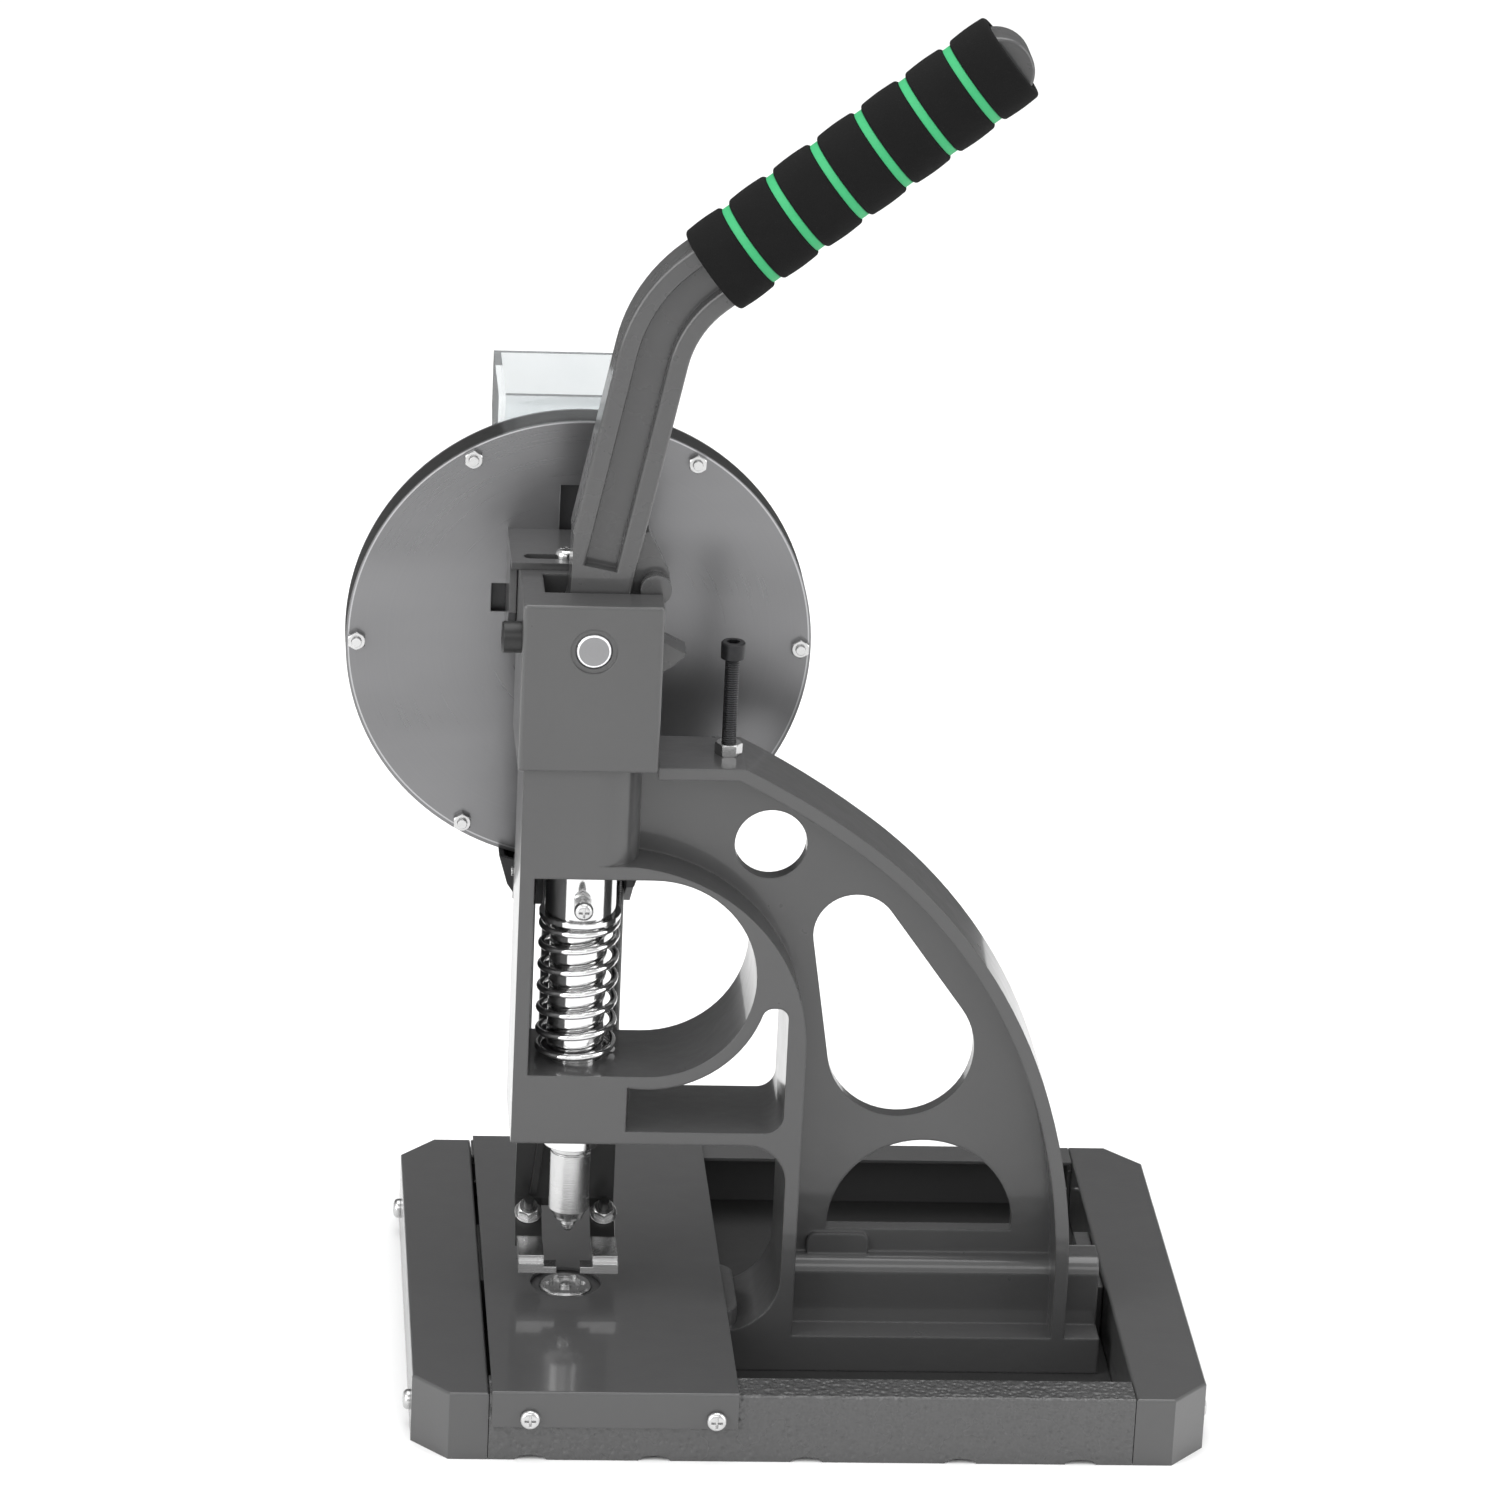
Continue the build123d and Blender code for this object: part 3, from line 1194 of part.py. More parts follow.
with BuildPart() as stud:
    Cylinder(stud_diameter / 2, 18.0, align=(Align.CENTER, Align.CENTER, Align.MIN))
    Cylinder(3.4, 1.6, align=(Align.CENTER, Align.CENTER, Align.MIN))
stud_drop = Vector(*stud_dir) * (chute_plate / 2 + finger_tab + 1.6)
save(group([placed(stud.part, spot - stud_drop, stud_dir) for spot in stud_spots]), "finger_studs")
nut_lift = Vector(*stud_dir) * (chute_plate / 2)
flange_nut = hex_nut(8.0, 5.4, stud_diameter + 2 * running_fit, flange=11.6)
save(group([placed(flange_nut, spot + nut_lift, stud_dir) for spot in stud_spots]), "finger_nuts")

with BuildPart() as chute_springs:
    tube_radius = 1.8
    spring_top = Vector(0, chute_pivot_y, chute_pivot_z - chute_pin / 2)
    spring_foot = Vector(0, plate_back + tube_radius, plate_top - 3.0)
    run = spring_top - spring_foot
    for x in spring_x:
        with BuildSketch(Plane(spring_foot + Vector(x, 0, 0), z_dir=run)):
            Circle(tube_radius)
        extrude(amount=run.length)
save(chute_springs.part, "chute_springs")

with BuildPart() as guide_blade:
    with BuildSketch(front_plane(plate_front)):
        with BuildLine():
            Polyline((ram_x - 15.3, 62.0), (ram_x - 12.3, 62.0), (ram_x - 9.1, 93.0), (ram_x - 12.1, 93.0), close=True)
        make_face()
    extrude(amount=2.0)
save(guide_blade.part, "guide_blade")
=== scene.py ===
# %% [markdown]
# # A hand-lever grommet press
# The press is a grey enamelled casting on a folded steel base. A bent lever turns a cam on the
# head, the cam pushes a chromed ram down, and a drum behind the head feeds grommets down a chute.
# Every piece already has its shape and place in the frame that is loaded here, so this lesson is
# about finishes, about the few soft or wound pieces that deserve better meshes, and about light.

# %% Load the frame
import math

import bpy
import numpy as np
from mathutils import Matrix, Vector


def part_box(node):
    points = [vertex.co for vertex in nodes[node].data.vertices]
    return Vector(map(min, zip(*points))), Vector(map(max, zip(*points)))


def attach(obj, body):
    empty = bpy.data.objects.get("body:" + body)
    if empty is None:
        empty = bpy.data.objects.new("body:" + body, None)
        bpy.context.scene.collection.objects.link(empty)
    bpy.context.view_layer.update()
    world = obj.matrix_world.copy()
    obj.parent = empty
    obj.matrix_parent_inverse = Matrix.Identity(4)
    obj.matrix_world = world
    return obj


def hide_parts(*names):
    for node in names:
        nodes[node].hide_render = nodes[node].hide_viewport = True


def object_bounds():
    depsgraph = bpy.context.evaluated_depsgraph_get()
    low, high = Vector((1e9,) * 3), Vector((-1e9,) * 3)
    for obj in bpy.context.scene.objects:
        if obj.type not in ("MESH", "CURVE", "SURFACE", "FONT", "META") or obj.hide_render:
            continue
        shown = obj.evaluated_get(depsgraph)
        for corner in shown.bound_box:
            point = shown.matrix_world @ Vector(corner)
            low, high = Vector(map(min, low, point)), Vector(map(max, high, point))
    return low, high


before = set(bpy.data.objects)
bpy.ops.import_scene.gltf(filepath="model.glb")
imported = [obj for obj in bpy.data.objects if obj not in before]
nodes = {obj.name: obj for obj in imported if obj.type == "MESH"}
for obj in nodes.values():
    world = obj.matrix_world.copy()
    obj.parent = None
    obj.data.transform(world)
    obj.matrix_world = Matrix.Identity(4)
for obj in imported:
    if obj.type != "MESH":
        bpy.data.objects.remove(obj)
cad_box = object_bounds()
print("pieces:", len(nodes), "box:", [tuple(round(v, 3) for v in corner) for corner in cad_box])

# %% [markdown]
# ## Writing shader maths as Python
# A finish is a handful of noises added, scaled and mixed. Drawing each Math node by hand hides the
# idea, so one small class wraps a socket and lets Python's own operators add the nodes. Every other
# node comes from a single method: settings first, then what goes into its sockets.


# %% A socket that can be added and multiplied
class Wire:
    """One output socket in a material's tree."""

    def __init__(self, tree, socket):
        self.tree = tree
        self.socket = socket

    def node(self, kind, settings=None, sockets=None, output=0):
        """Add a node of any kind and return one of its outputs."""
        made = self.tree.nodes.new(kind)
        for name, setting in (settings or {}).items():
            setattr(made, name, setting)
        for key, value in (sockets or {}).items():
            if isinstance(value, Wire):
                self.tree.links.new(value.socket, made.inputs[key])
            else:
                made.inputs[key].default_value = value
        return Wire(self.tree, made.outputs[output])

    def maths(self, operation, first, second):
        """One Math node on two values or wires."""
        return self.node("ShaderNodeMath", {"operation": operation}, {0: first, 1: second})

    def __add__(self, other):
        return self.maths("ADD", self, other)

    def __sub__(self, other):
        return self.maths("SUBTRACT", self, other)

    def __mul__(self, other):
        return self.maths("MULTIPLY", self, other)

    def __truediv__(self, other):
        return self.maths("DIVIDE", self, other)

    def __rsub__(self, other):
        return self.maths("SUBTRACT", other, self)

    __radd__ = __add__
    __rmul__ = __mul__


# %% [markdown]
# ## A finish is a colour, a roughness and a relief
# All the finishes start the same way: a Principled shader, the object's own coordinates in metres,
# and a Bevel node that softens every hard corner a little, as paint and plating do. What differs
# is which noises feed colour, roughness and relief.


# %% Start and close a finish
def begin(name):
    """A new material with nothing in it but its coordinates. Returns the material and a wire."""
    material = bpy.data.materials.new(name)
    material.use_nodes = True
    material.node_tree.nodes.clear()
    place = material.node_tree.nodes.new("ShaderNodeTexCoord")
    return material, Wire(material.node_tree, place.outputs["Object"])


def noise(place, scale, detail=3.0, rough=0.55, stretch=(1.0, 1.0, 1.0)):
    """Soft noise from 0 to 1, with scale in waves per metre."""
    sized = place.node("ShaderNodeVectorMath", {"operation": "MULTIPLY"}, {0: place, 1: stretch})
    return place.node("ShaderNodeTexNoise", {}, {"Vector": sized, "Scale": scale, "Detail": detail,
                                                 "Roughness": rough})


def blend(place, factor, first, second):
    """Mix two colours by a factor."""
    return place.node("ShaderNodeMix", {"data_type": "RGBA"}, {0: factor, 6: first, 7: second}, output=2)


def close(material, place, colour, roughness, relief=None, depth=0.0, corner=0.0006, **fixed):
    """Join colour, roughness and relief to the shader and give it its fixed values."""
    tree = material.node_tree
    shader = tree.nodes.new("ShaderNodeBsdfPrincipled")
    out = tree.nodes.new("ShaderNodeOutputMaterial")
    tree.links.new(shader.outputs[0], out.inputs["Surface"])
    tree.links.new(colour.socket, shader.inputs["Base Color"])
    tree.links.new(roughness.socket, shader.inputs["Roughness"])
    normal = None
    if corner:
        normal = place.node("ShaderNodeBevel", {"samples": 4}, {"Radius": corner})
    if relief is not None:
        sockets = {"Height": relief, "Distance": depth, "Strength": 1.0}
        if normal is not None:
            sockets["Normal"] = normal
        normal = place.node("ShaderNodeBump", {}, sockets)
    if normal is not None:
        tree.links.new(normal.socket, shader.inputs["Normal"])
    for name, value in fixed.items():
        shader.inputs[name.replace("_", " ")].default_value = value
    print("finish", material.name, "nodes:", len(tree.nodes))
    return material


# %% [markdown]
# ## Grey enamel
# The casting, the lever and the folded sheets wear the same thick grey enamel. Over cast iron it
# sags in long soft waves, and over sheet it keeps a fine orange peel, so one function makes both
# with different relief. Colour drifts by a few percent.


# %% Enamel on cast and on sheet
def enamel(name, shade, waves, depth, roughness, corner, pits=0.0):
    material, place = begin(name)
    drift = noise(place, 9.0, 2.0)
    speck = noise(place, 420.0, 2.0)
    dark = (shade * 0.88, shade * 0.88, shade * 0.9, 1.0)
    light = (shade * 1.12, shade * 1.12, shade * 1.12, 1.0)
    colour = blend(place, drift * 0.8 + speck * 0.2, dark, light)
    sheen = noise(place, 60.0, 3.0) * 0.12 + (roughness - 0.06)
    relief = noise(place, waves, 2.0) + noise(place, 700.0, 2.0) * 0.08
    if pits:
        cells = place.node("ShaderNodeTexVoronoi", {"feature": "SMOOTH_F1"},
                           {"Vector": place, "Scale": pits, "Smoothness": 0.6})
        relief = relief * 0.3 + cells * 1.2
    return close(material, place, colour, sheen, relief, depth, corner, Coat_Weight=0.5, Coat_Roughness=0.07,
                 Specular_IOR_Level=0.45)


cast_enamel = enamel("cast_enamel", 0.050, 55.0, 0.0004, 0.30, 0.0014)
lever_enamel = enamel("lever_enamel", 0.050, 70.0, 0.0003, 0.28, 0.0010)
sheet_enamel = enamel("sheet_enamel", 0.052, 30.0, 0.0003, 0.32, 0.0006)
hammered_enamel = enamel("hammered_enamel", 0.052, 160.0, 0.0013, 0.28, 0.0006, pits=380.0)

# %% [markdown]
# ## Plated, turned and blackened steel
# Fasteners are bright zinc, the ram is hard chrome, the dies are turned and ground, and a few small
# pieces are black oxide. Metals get their look from roughness: zinc is patchy, chrome nearly a mirror,
# and turned steel carries fine rings, which here are a noise stretched across the axis.


# %% Metals
def metal(name, shade, roughness, patch, stretch, scale, depth, corner, tint=(1.0, 1.0, 1.0), metallic=1.0):
    material, place = begin(name)
    cloud = noise(place, 90.0, 3.0)
    lines = noise(place, scale, 2.0, 0.5, stretch)
    dark = tuple(shade * 0.86 * part for part in tint) + (1.0,)
    light = tuple(min(1.0, shade * 1.08) * part for part in tint) + (1.0,)
    colour = blend(place, cloud, dark, light)
    sheen = cloud * patch + lines * patch + (roughness - patch)
    return close(material, place, colour, sheen, lines, depth, corner, Metallic=metallic)


zinc = metal("zinc_plate", 0.55, 0.25, 0.08, (1.0, 1.0, 1.0), 500.0, 0.00004, 0.0004)
chrome = metal("hard_chrome", 0.74, 0.10, 0.03, (0.2, 0.2, 6.0), 300.0, 0.00001, 0.0005)
turned = metal("turned_steel", 0.55, 0.26, 0.06, (0.3, 0.3, 8.0), 500.0, 0.00003, 0.0005)
oxide = metal("black_oxide", 0.022, 0.36, 0.08, (1.0, 1.0, 1.0), 400.0, 0.00004, 0.0004, metallic=0.5)
spring_steel = metal("spring_steel", 0.30, 0.30, 0.08, (1.0, 1.0, 1.0), 500.0, 0.00004, 0.0)
# Painted shade: the bottom plate is near-black to stand in for the shade inside the base.
painted_shade_sheet = metal("painted_shade_sheet", 0.016, 0.62, 0.10, (1.0, 1.0, 1.0), 200.0, 0.00004, 0.0003, metallic=0.0)
bearing = metal("bearing_bronze", 0.5, 0.3, 0.06, (1.0, 6.0, 1.0), 400.0, 0.00002, 0.0003,
                tint=(1.0, 0.72, 0.4))

# %% [markdown]
# ## Faces turned about their own axis
# The drum's round plates and the pivot pin are finished about an axis that runs front to back. The
# distance from that axis is the one coordinate their marks vary with: a faint grain and a painted
# highlight line at the rim. Broad level clouds lie over it, a painted reflection of a soft box.


# %% Round faces
def round_face(name, node, shades, edge, grain_scale, grain_share, roughness):
    """Satin metal with a painted highlight line between two radii, centred on a node's box."""
    low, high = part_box(node)
    centre = tuple((low[i] + high[i]) / 2 for i in range(3))
    material, place = begin(name)
    flat = place.node("ShaderNodeVectorMath", {"operation": "SUBTRACT"}, {0: place, 1: centre})
    flat = place.node("ShaderNodeVectorMath", {"operation": "MULTIPLY"}, {0: flat, 1: (1.0, 0.0, 1.0)})
    radius = place.node("ShaderNodeVectorMath", {"operation": "LENGTH"}, {0: flat}, output="Value")
    grain = place.node("ShaderNodeTexNoise", {"noise_dimensions": "1D"},
                       {"W": radius, "Scale": grain_scale, "Detail": 3.0})
    # The broad clouds are a painted reflection of a soft box.
    cloud = noise(place, 14.0, 2.0, 0.5, (0.35, 1.0, 1.6))
    dark, light, painted_highlight = [(shade, shade, shade * 1.02, 1.0) for shade in shades]
    # Painted highlight: the band between the two radii is coloured bright, a rim catching the light.
    line = radius.maths("GREATER_THAN", radius, edge[0]) * radius.maths("LESS_THAN", radius, edge[1])
    colour = blend(place, grain * grain_share + cloud * (1.0 - grain_share), dark, light)
    colour = blend(place, line, colour, painted_highlight)
    print(name, "centre", [round(value, 4) for value in centre])
    return close(material, place, colour, grain * 0.08 + cloud * 0.12 + (roughness - 0.1), None, 0.0, 0.0006,
                 Metallic=0.85)


# The third shade of each face is its painted rim highlight.
satin = round_face("satin_plate", "drum_ring", (0.13, 0.25, 0.42), (0.0961, 0.0967), 900.0, 0.08, 0.30)
pin_face = round_face("pin_face", "pivot_pin", (0.20, 0.30, 0.85), (0.0062, 0.0070), 1500.0, 0.3, 0.34)

# %% A screw with its thread cut below the head
bolt_low, bolt_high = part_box("stop_bolt")
material, place = begin("threaded_oxide")
height = place.node("ShaderNodeSeparateXYZ", {}, {0: place}, output=2)
below = height.maths("LESS_THAN", height, bolt_high[2] - 0.0073)
thread = height.maths("PINGPONG", height, 0.0005) * 2000.0 * below
wear_cloud = noise(place, 300.0, 3.0)
# Painted shade: the colour follows the thread, darker in its roots and lighter on its crests.
colour = blend(place, wear_cloud * 0.4 + thread * 0.6, (0.008, 0.008, 0.009, 1.0), (0.045, 0.045, 0.048, 1.0))
threaded = close(material, place, colour, wear_cloud * 0.15 + 0.28, thread, 0.00035, 0.0004, Metallic=0.5)

# %% [markdown]
# ## Plastics, foam and bristle
# The funnel and rotor are moulded black plastic with a fine spark-eroded grain. The hopper is
# clear acrylic, so it is a glass-like shader whose thin walls show as edges. The grip is closed-cell
# foam with green rings: foam is dark, rough and covered in tiny cells.

# %% Moulded plastic
material, place = begin("moulded_black")
fine = noise(place, 900.0, 2.0)
colour = blend(place, noise(place, 20.0), (0.008, 0.008, 0.009, 1.0), (0.02, 0.02, 0.021, 1.0))
moulded = close(material, place, colour, fine * 0.15 + 0.36, fine, 0.00006, 0.0005)

# %% Foam and green rubber
material, place = begin("cell_foam")
cells = place.node("ShaderNodeTexVoronoi", {"feature": "F1"}, {"Vector": place, "Scale": 1500.0})
dull = noise(place, 60.0, 3.0)
colour = blend(place, dull, (0.003, 0.003, 0.003, 1.0), (0.007, 0.007, 0.007, 1.0))
foam = close(material, place, colour, dull * 0.1 + 0.86, cells + dull * 0.6, 0.00012, 0.0,
             Specular_IOR_Level=0.16)
material, place = begin("green_rubber")
fine = noise(place, 700.0, 3.0)
colour = blend(place, fine * 0.6 + noise(place, 30.0) * 0.4, (0.014, 0.28, 0.095, 1.0),
               (0.035, 0.40, 0.15, 1.0))
green = close(material, place, colour, fine * 0.15 + 0.55, fine, 0.00008, 0.0005)

# %% Clear acrylic
material, place = begin("clear_acrylic")
smear = noise(place, 25.0, 3.0)
colour = blend(place, smear, (0.74, 0.77, 0.78, 1.0), (0.86, 0.88, 0.885, 1.0))
acrylic = close(material, place, colour, smear * 0.08 + 0.03, smear, 0.00005, 0.0,
                Transmission_Weight=0.85, IOR=1.46)

# %% Bristle
material, place = begin("bristle")
tufts = noise(place, 800.0, 2.0, 0.5, (1.0, 0.15, 1.0))
colour = blend(place, tufts, (0.01, 0.01, 0.01, 1.0), (0.06, 0.055, 0.05, 1.0))
bristle = close(material, place, colour, tufts * 0.1 + 0.8, tufts, 0.0004, 0.0)

# %% [markdown]
# ## Which piece wears what
# Each finish is listed with the pieces that wear it, so a wrong choice is easy to find, and the
# last line checks that nothing was left bare.

# %% Dress the pieces
wardrobe = {
    cast_enamel: ("press_frame",),
    lever_enamel: ("lever",),
    sheet_enamel: ("left_end_cover", "right_end_cover", "back_channel", "table_plate", "feeder_bracket"),
    hammered_enamel: ("front_channel",),
    zinc: ("end_cover_screws", "corner_screws", "table_screws", "head_side_screw", "tie_bolts", "tie_nuts",
           "stop_nut", "collar_screw", "collar_nut", "drum_screws", "drum_nuts", "bracket_slot_screws",
           "bracket_drum_screws", "finger_nuts", "chute_hinge_pin", "rotor_shaft"),
    spring_steel: ("chute_springs",),
    chrome: ("ram_rod", "ram_collar", "spring_washer", "ram_spring"),
    turned: ("lower_die", "lower_die_pin", "upper_die", "die_pin", "finger_left", "finger_right"),
    pin_face: ("pivot_pin",),
    threaded: ("stop_bolt",),
    # the near-black bottom plate is painted shade for the inside of the base
    painted_shade_sheet: ("bottom_plate",),
    oxide: ("pin_lock_screw", "finger_studs", "guide_blade", "ratchet_wheel", "chute_foot", "drum_ring"),
    satin: ("drum_plate", "drum_cover"),
    moulded: ("funnel", "chute_rail", "rotor_disc"),
    bristle: ("rotor_brush",),
    bearing: ("rotor_bush", "cover_bush"),
    acrylic: ("hopper",),
    foam: ("grip_segments",),
    green: ("grip_rings",),
}


def wear(piece, finish):
    """Give a piece one finish all over."""
    piece.data.materials.clear()
    piece.data.materials.append(finish)


for finish, names in wardrobe.items():
    for name in names:
        wear(nodes[name], finish)
bare = sorted(set(nodes) - {name for names in wardrobe.values() for name in names})
print("dressed:", len(nodes) - len(bare), "bare:", bare)

# %% [markdown]
# ## The foam grip
# Seven foam sleeves and six green rings are threaded on the bar. Foam bulges slightly between its
# ends and rolls over at the rims, which a plain cylinder doesn't do, so each sleeve is turned from
# a crowned profile. The rings' own mesh tells where the axis runs and where each sleeve begins.

# %% Find the grip's axis
ring_points = np.array([v.co for v in nodes["grip_rings"].data.vertices])
grip_points = np.array([v.co for v in nodes["grip_segments"].data.vertices])
grip_middle = ring_points.mean(axis=0)
direction = np.linalg.svd(ring_points - grip_middle, full_matrices=False)[2][0]
direction = direction if direction[2] > 0 else -direction
along = np.sort((ring_points - grip_middle) @ direction)
breaks = np.where(np.diff(along) > 0.008)[0]
ring_starts = [along[0]] + [along[i + 1] for i in breaks]
ring_ends = [along[i] for i in breaks] + [along[-1]]
reach = (grip_points - grip_middle) @ direction
sleeve_radius = np.linalg.norm((grip_points - grip_middle) - np.outer(reach, direction), axis=1).max()
print("rings:", len(ring_starts), "sleeve radius:", round(float(sleeve_radius), 4))


# %% Turn a profile about the grip's axis
def turned_mesh(name, profile, rounds=96):
    """Mesh of revolution about the grip's axis from (distance along, radius) points."""
    axis = Vector(direction)
    side = axis.orthogonal().normalized()
    other = axis.cross(side)
    points = []
    for distance, radius_here in profile:
        centre = Vector(grip_middle) + axis * distance
        for k in range(rounds):
            angle = 2 * math.pi * k / rounds
            points.append(centre + (side * math.cos(angle) + other * math.sin(angle)) * radius_here)
    faces = []
    rows = len(profile)
    for i in range(rows):
        after = (i + 1) % rows
        for k in range(rounds):
            turn = (k + 1) % rounds
            faces.append((i * rounds + k, i * rounds + turn, after * rounds + turn, after * rounds + k))
    mesh = bpy.data.meshes.new(name)
    mesh.from_pydata(points, [], faces)
    mesh.polygons.foreach_set("use_smooth", [True] * len(faces))
    mesh.update()
    piece = bpy.data.objects.new(name, mesh)
    bpy.context.scene.collection.objects.link(piece)
    return piece


# %% Foam sleeves
ring_gap = 0.0001
skin = 0.0003
ring_sink = 0.0016
ring_cover = 0.0022
roll = 0.0017
rim_steps = 7
body_steps = 10
rim_turn = 15
outer_radius = sleeve_radius - skin
inner_radius = float(sleeve_radius) - ring_sink - ring_cover
starts = [float(reach.min())] + [end + ring_gap for end in ring_ends]
ends = [start - ring_gap for start in ring_starts] + [float(reach.max())]


def sleeve_profile(start, end):
    """Closed profile of one sleeve: a rolled rim, a faintly crowned body and the other rim."""
    profile = [(start, inner_radius)]
    for step in range(rim_steps):
        lift = math.radians(rim_turn * step)
        profile.append((start + roll * (1 - math.cos(lift)), outer_radius - roll * (1 - math.sin(lift))))
    for step in range(1, body_steps):
        share = step / body_steps
        crown = skin * math.sin(math.pi * share)
        profile.append((start + roll + (end - start - 2 * roll) * share, outer_radius + crown))
    for step in range(rim_steps):
        lift = math.radians(90 - rim_turn * step)
        profile.append((end - roll * (1 - math.cos(lift)), outer_radius - roll * (1 - math.sin(lift))))
    profile.append((end, inner_radius))
    return profile


sleeves = []
for number, (start, end) in enumerate(zip(starts, ends)):
    sleeve = turned_mesh(f"foam_sleeve_{number + 1}", sleeve_profile(start, end))
    wear(sleeve, foam)
    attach(sleeve, "lever")
    sleeves.append(sleeve)
for sleeve in sleeves:
    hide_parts("grip_segments")
print("sleeves:", len(sleeves), "lengths mm:", [round((e - s) * 1000, 1) for s, e in zip(starts, ends)])

# %% [markdown]
# ## The chute's coil springs
# Two thin extension springs hang from the funnel's pin and pull the chute forward. Their coils
# nearly touch, so each is one long helix whose pitch is a little over the wire's thickness. A
# curve with a round bevel gives the wire, and it becomes a mesh so that it can ride on the chute.


# %% Wind a spring
coil_spacing = 1.35
points_per_turn = 10


def wound_spring(name, start, end, radius, wire):
    """A close-wound spring between two points."""
    start = Vector(start)
    end = Vector(end)
    axis = (end - start).normalized()
    side = axis.orthogonal().normalized()
    other = axis.cross(side)
    length = (end - start).length
    turns = int(length / (wire * coil_spacing))
    steps = turns * points_per_turn
    curve = bpy.data.curves.new(name, "CURVE")
    curve.dimensions = "3D"
    curve.bevel_depth = wire / 2
    curve.bevel_resolution = 1
    line = curve.splines.new("POLY")
    line.points.add(steps)
    for i in range(steps + 1):
        angle = 2 * math.pi * turns * i / steps
        outward = side * math.cos(angle) + other * math.sin(angle)
        spot = start + axis * (length * i / steps) + outward * radius
        line.points[i].co = (*spot, 1.0)
    rough = bpy.data.objects.new(name + "_line", curve)
    bpy.context.scene.collection.objects.link(rough)
    mesh = bpy.data.meshes.new_from_object(rough.evaluated_get(bpy.context.evaluated_depsgraph_get()))
    bpy.data.objects.remove(rough)
    mesh.polygons.foreach_set("use_smooth", [True] * len(mesh.polygons))
    piece = bpy.data.objects.new(name, mesh)
    bpy.context.scene.collection.objects.link(piece)
    return piece


# %% Two springs
spring_points = np.array([v.co for v in nodes["chute_springs"].data.vertices])
middle_x = (spring_points[:, 0].min() + spring_points[:, 0].max()) / 2
for side_name, group in (("left", spring_points[spring_points[:, 0] < middle_x]),
                         ("right", spring_points[spring_points[:, 0] > middle_x])):
    top = group[group[:, 2] > group[:, 2].max() - 0.001].mean(axis=0)
    foot = group[group[:, 2] < group[:, 2].min() + 0.001].mean(axis=0)
    spring = wound_spring("return_spring_" + side_name, top, foot, radius=0.00145, wire=0.00062)
    wear(spring, spring_steel)
    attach(spring, "chute")
    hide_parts("chute_springs")
    print(spring.name, "faces:", len(spring.data.polygons))

# %% [markdown]
# ## Floor, light and camera
# Studio packshots of dark glossy things need large pale surfaces to reflect. The floor curves up
# into a wall well behind, big soft lamps stand left, right and above, and the world is a pale even
# grey. The camera stands a little left of the middle and looks down on the press.

# %% Floor that turns up into a wall
floor_front = -6.0
floor_back = 2.5
wall_bend = 1.5
wall_top = 7.0
half_width = 8.0
bend_steps = 12
sweep_profile = [(floor_front, 0.0), (floor_back, 0.0)]
for step in range(1, bend_steps + 1):
    angle = math.radians(90 / bend_steps * step)
    sweep_profile.append((floor_back + wall_bend * math.sin(angle), wall_bend - wall_bend * math.cos(angle)))
sweep_profile.append((floor_back + wall_bend, wall_top))
sweep_points = [(x, y, z) for y, z in sweep_profile for x in (-half_width, half_width)]
sweep_faces = [(2 * i, 2 * i + 1, 2 * i + 3, 2 * i + 2) for i in range(len(sweep_profile) - 1)]
sweep_mesh = bpy.data.meshes.new("sweep")
sweep_mesh.from_pydata(sweep_points, [], sweep_faces)
sweep_mesh.polygons.foreach_set("use_smooth", [True] * len(sweep_faces))
floor = bpy.data.objects.new("studio_sweep", sweep_mesh)
floor.location.z = cad_box[0][2]
bpy.context.scene.collection.objects.link(floor)
material, place = begin("pale_floor")
colour = blend(place, noise(place, 2.0), (0.86, 0.86, 0.86, 1.0), (0.90, 0.90, 0.90, 1.0))
wear(floor, close(material, place, colour, noise(place, 3.0) * 0.1 + 0.7, corner=0.0))


# %% [markdown]
# A dark glossy piece seen almost along its side mirrors whatever stands behind it. A grey card
# behind the press, which only reflections can see, keeps those sides from turning white.


# %% Lamps and a card
def lamp(name, spot, target, size, power):
    """A square soft lamp that looks at a target."""
    light = bpy.data.lights.new(name, "AREA")
    light.shape = "RECTANGLE"
    light.size, light.size_y = size
    light.energy = power
    holder = bpy.data.objects.new(name, light)
    holder.location = spot
    holder.rotation_euler = (Vector(target) - Vector(spot)).to_track_quat("-Z", "Y").to_euler()
    bpy.context.scene.collection.objects.link(holder)
    return holder


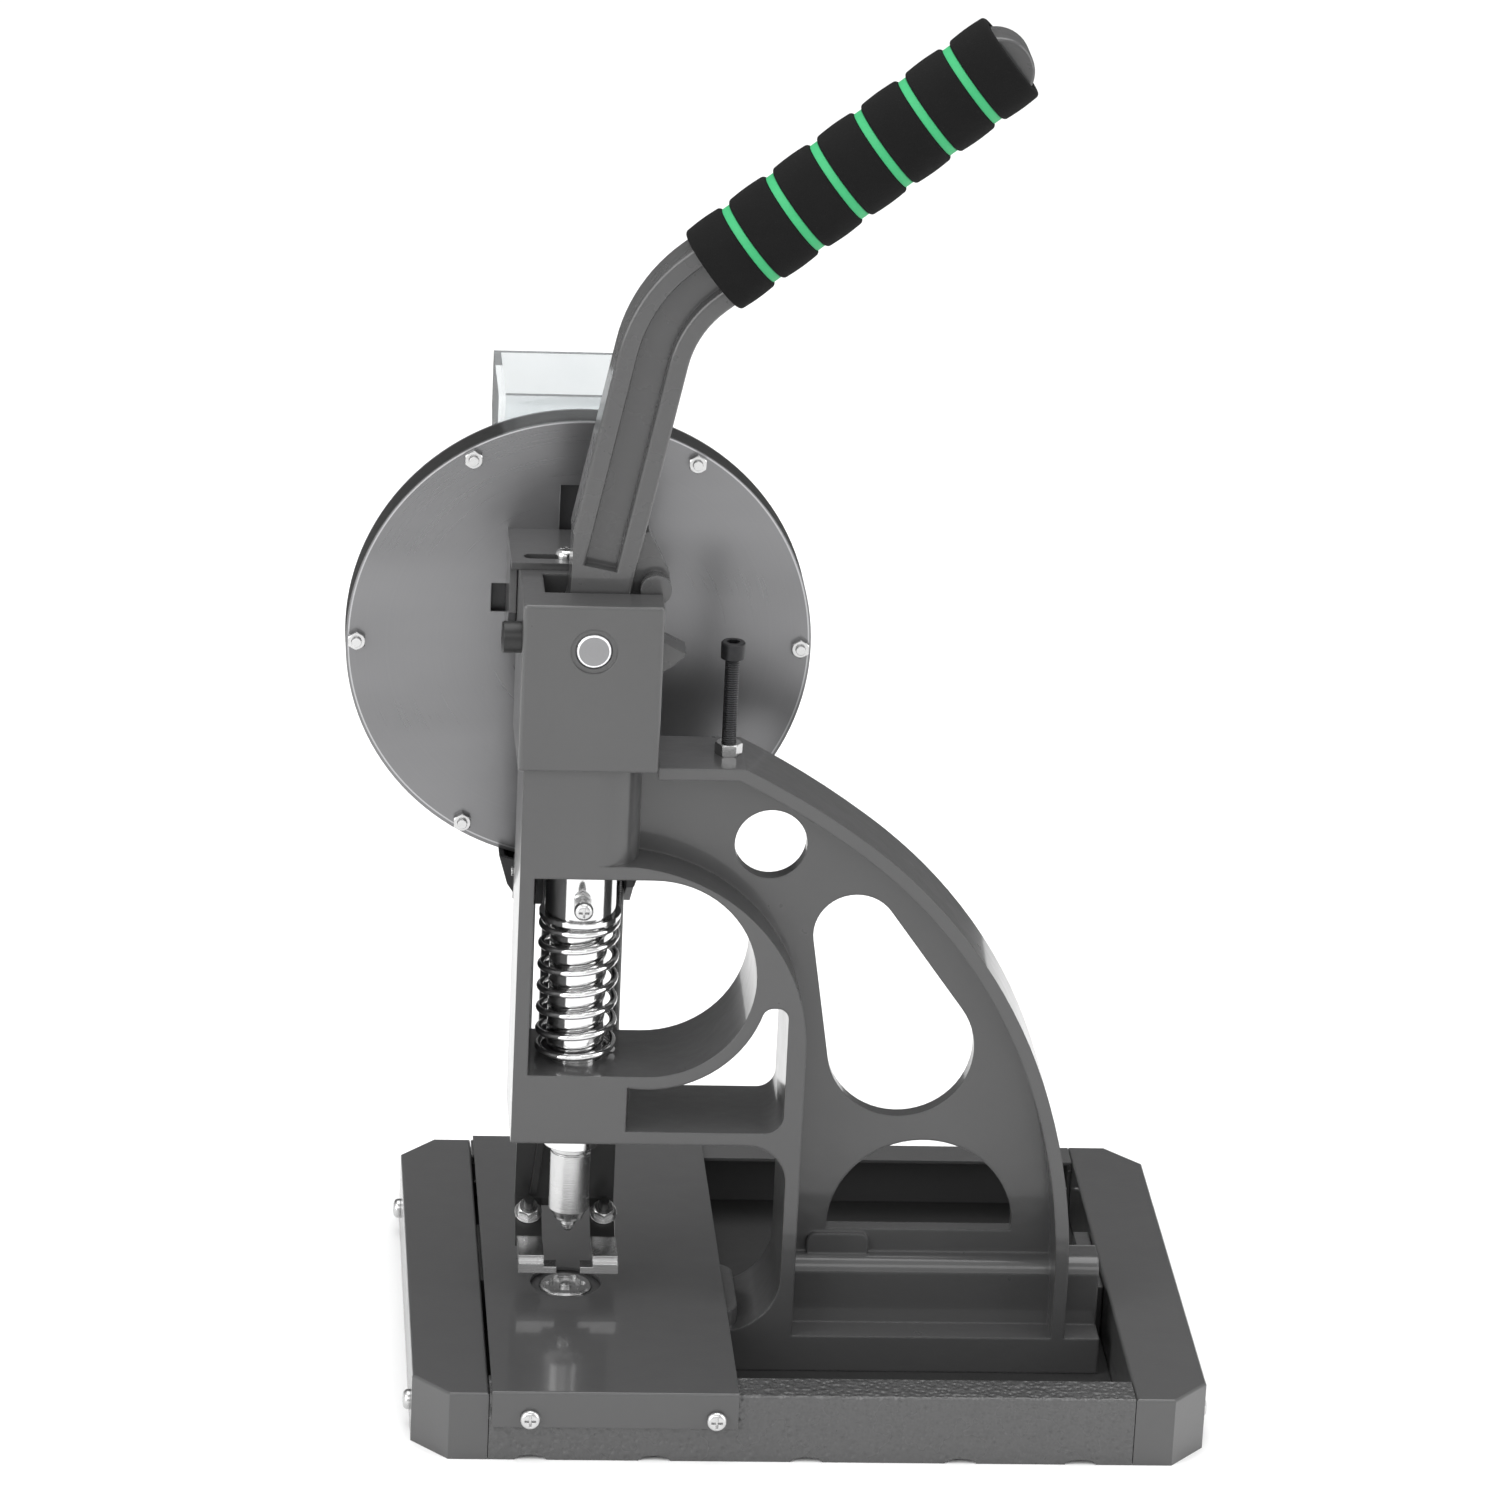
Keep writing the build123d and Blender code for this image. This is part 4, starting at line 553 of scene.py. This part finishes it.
card_half = 1.1
card_y = 0.6
card_low = 0.02
card_high = 0.9
card_corners = [(-card_half, card_y, card_low), (card_half, card_y, card_low),
                (card_half, card_y, card_high), (-card_half, card_y, card_high)]
card_mesh = bpy.data.meshes.new("dark_card")
card_mesh.from_pydata(card_corners, [], [(0, 1, 2, 3)])
card = bpy.data.objects.new("dark_card", card_mesh)
bpy.context.scene.collection.objects.link(card)
material, place = begin("card_grey")
colour = blend(place, noise(place, 3.0), (0.07, 0.07, 0.07, 1.0), (0.11, 0.11, 0.11, 1.0))
wear(card, close(material, place, colour, noise(place, 3.0) * 0.1 + 0.8, corner=0.0))
card.visible_camera = False
card.visible_diffuse = False
card.visible_shadow = False
card.visible_transmission = False

aim = (-0.02, -0.02, 0.25)
lamp("left_bank", (-2.0, -1.2, 1.3), aim, (1.6, 2.2), 42.0)
lamp("right_bank", (2.2, -1.0, 1.2), aim, (1.2, 2.2), 26.0)
lamp("overhead", (0.1, 0.3, 2.6), aim, (2.2, 2.2), 40.0)
lamp("front_fill", (-0.4, -3.2, 2.2), aim, (2.4, 1.2), 18.0)
world = bpy.data.worlds.new("studio")
world.use_nodes = True
world.node_tree.nodes["Background"].inputs["Color"].default_value = (1.0, 1.0, 1.0, 1.0)
world.node_tree.nodes["Background"].inputs["Strength"].default_value = 0.85
bpy.context.scene.world = world
bpy.context.scene.view_settings.view_transform = "Standard"

# %% Camera
turn, drop, tilt = math.radians(4.919), math.radians(20.642), math.radians(2.751)
forward = Vector((math.sin(turn) * math.cos(drop), math.cos(turn) * math.cos(drop), -math.sin(drop)))
level = Vector((math.cos(turn), -math.sin(turn), 0.0))
upward = level.cross(forward)
across = level * math.cos(tilt) + upward * math.sin(tilt)
upright = upward * math.cos(tilt) - level * math.sin(tilt)
camera_data = bpy.data.cameras.new("camera")
camera_data.sensor_width = 36.0
camera_data.lens = 165.95
camera = bpy.data.objects.new("camera", camera_data)
camera_spot = (-0.25937, -2.6837, 1.28024)
camera_turn = Matrix((across, upright, -forward)).transposed().to_4x4()
camera.matrix_world = Matrix.Translation(camera_spot) @ camera_turn
bpy.context.scene.collection.objects.link(camera)
bpy.context.scene.camera = camera
print("camera at", [round(v, 3) for v in camera.matrix_world.translation])
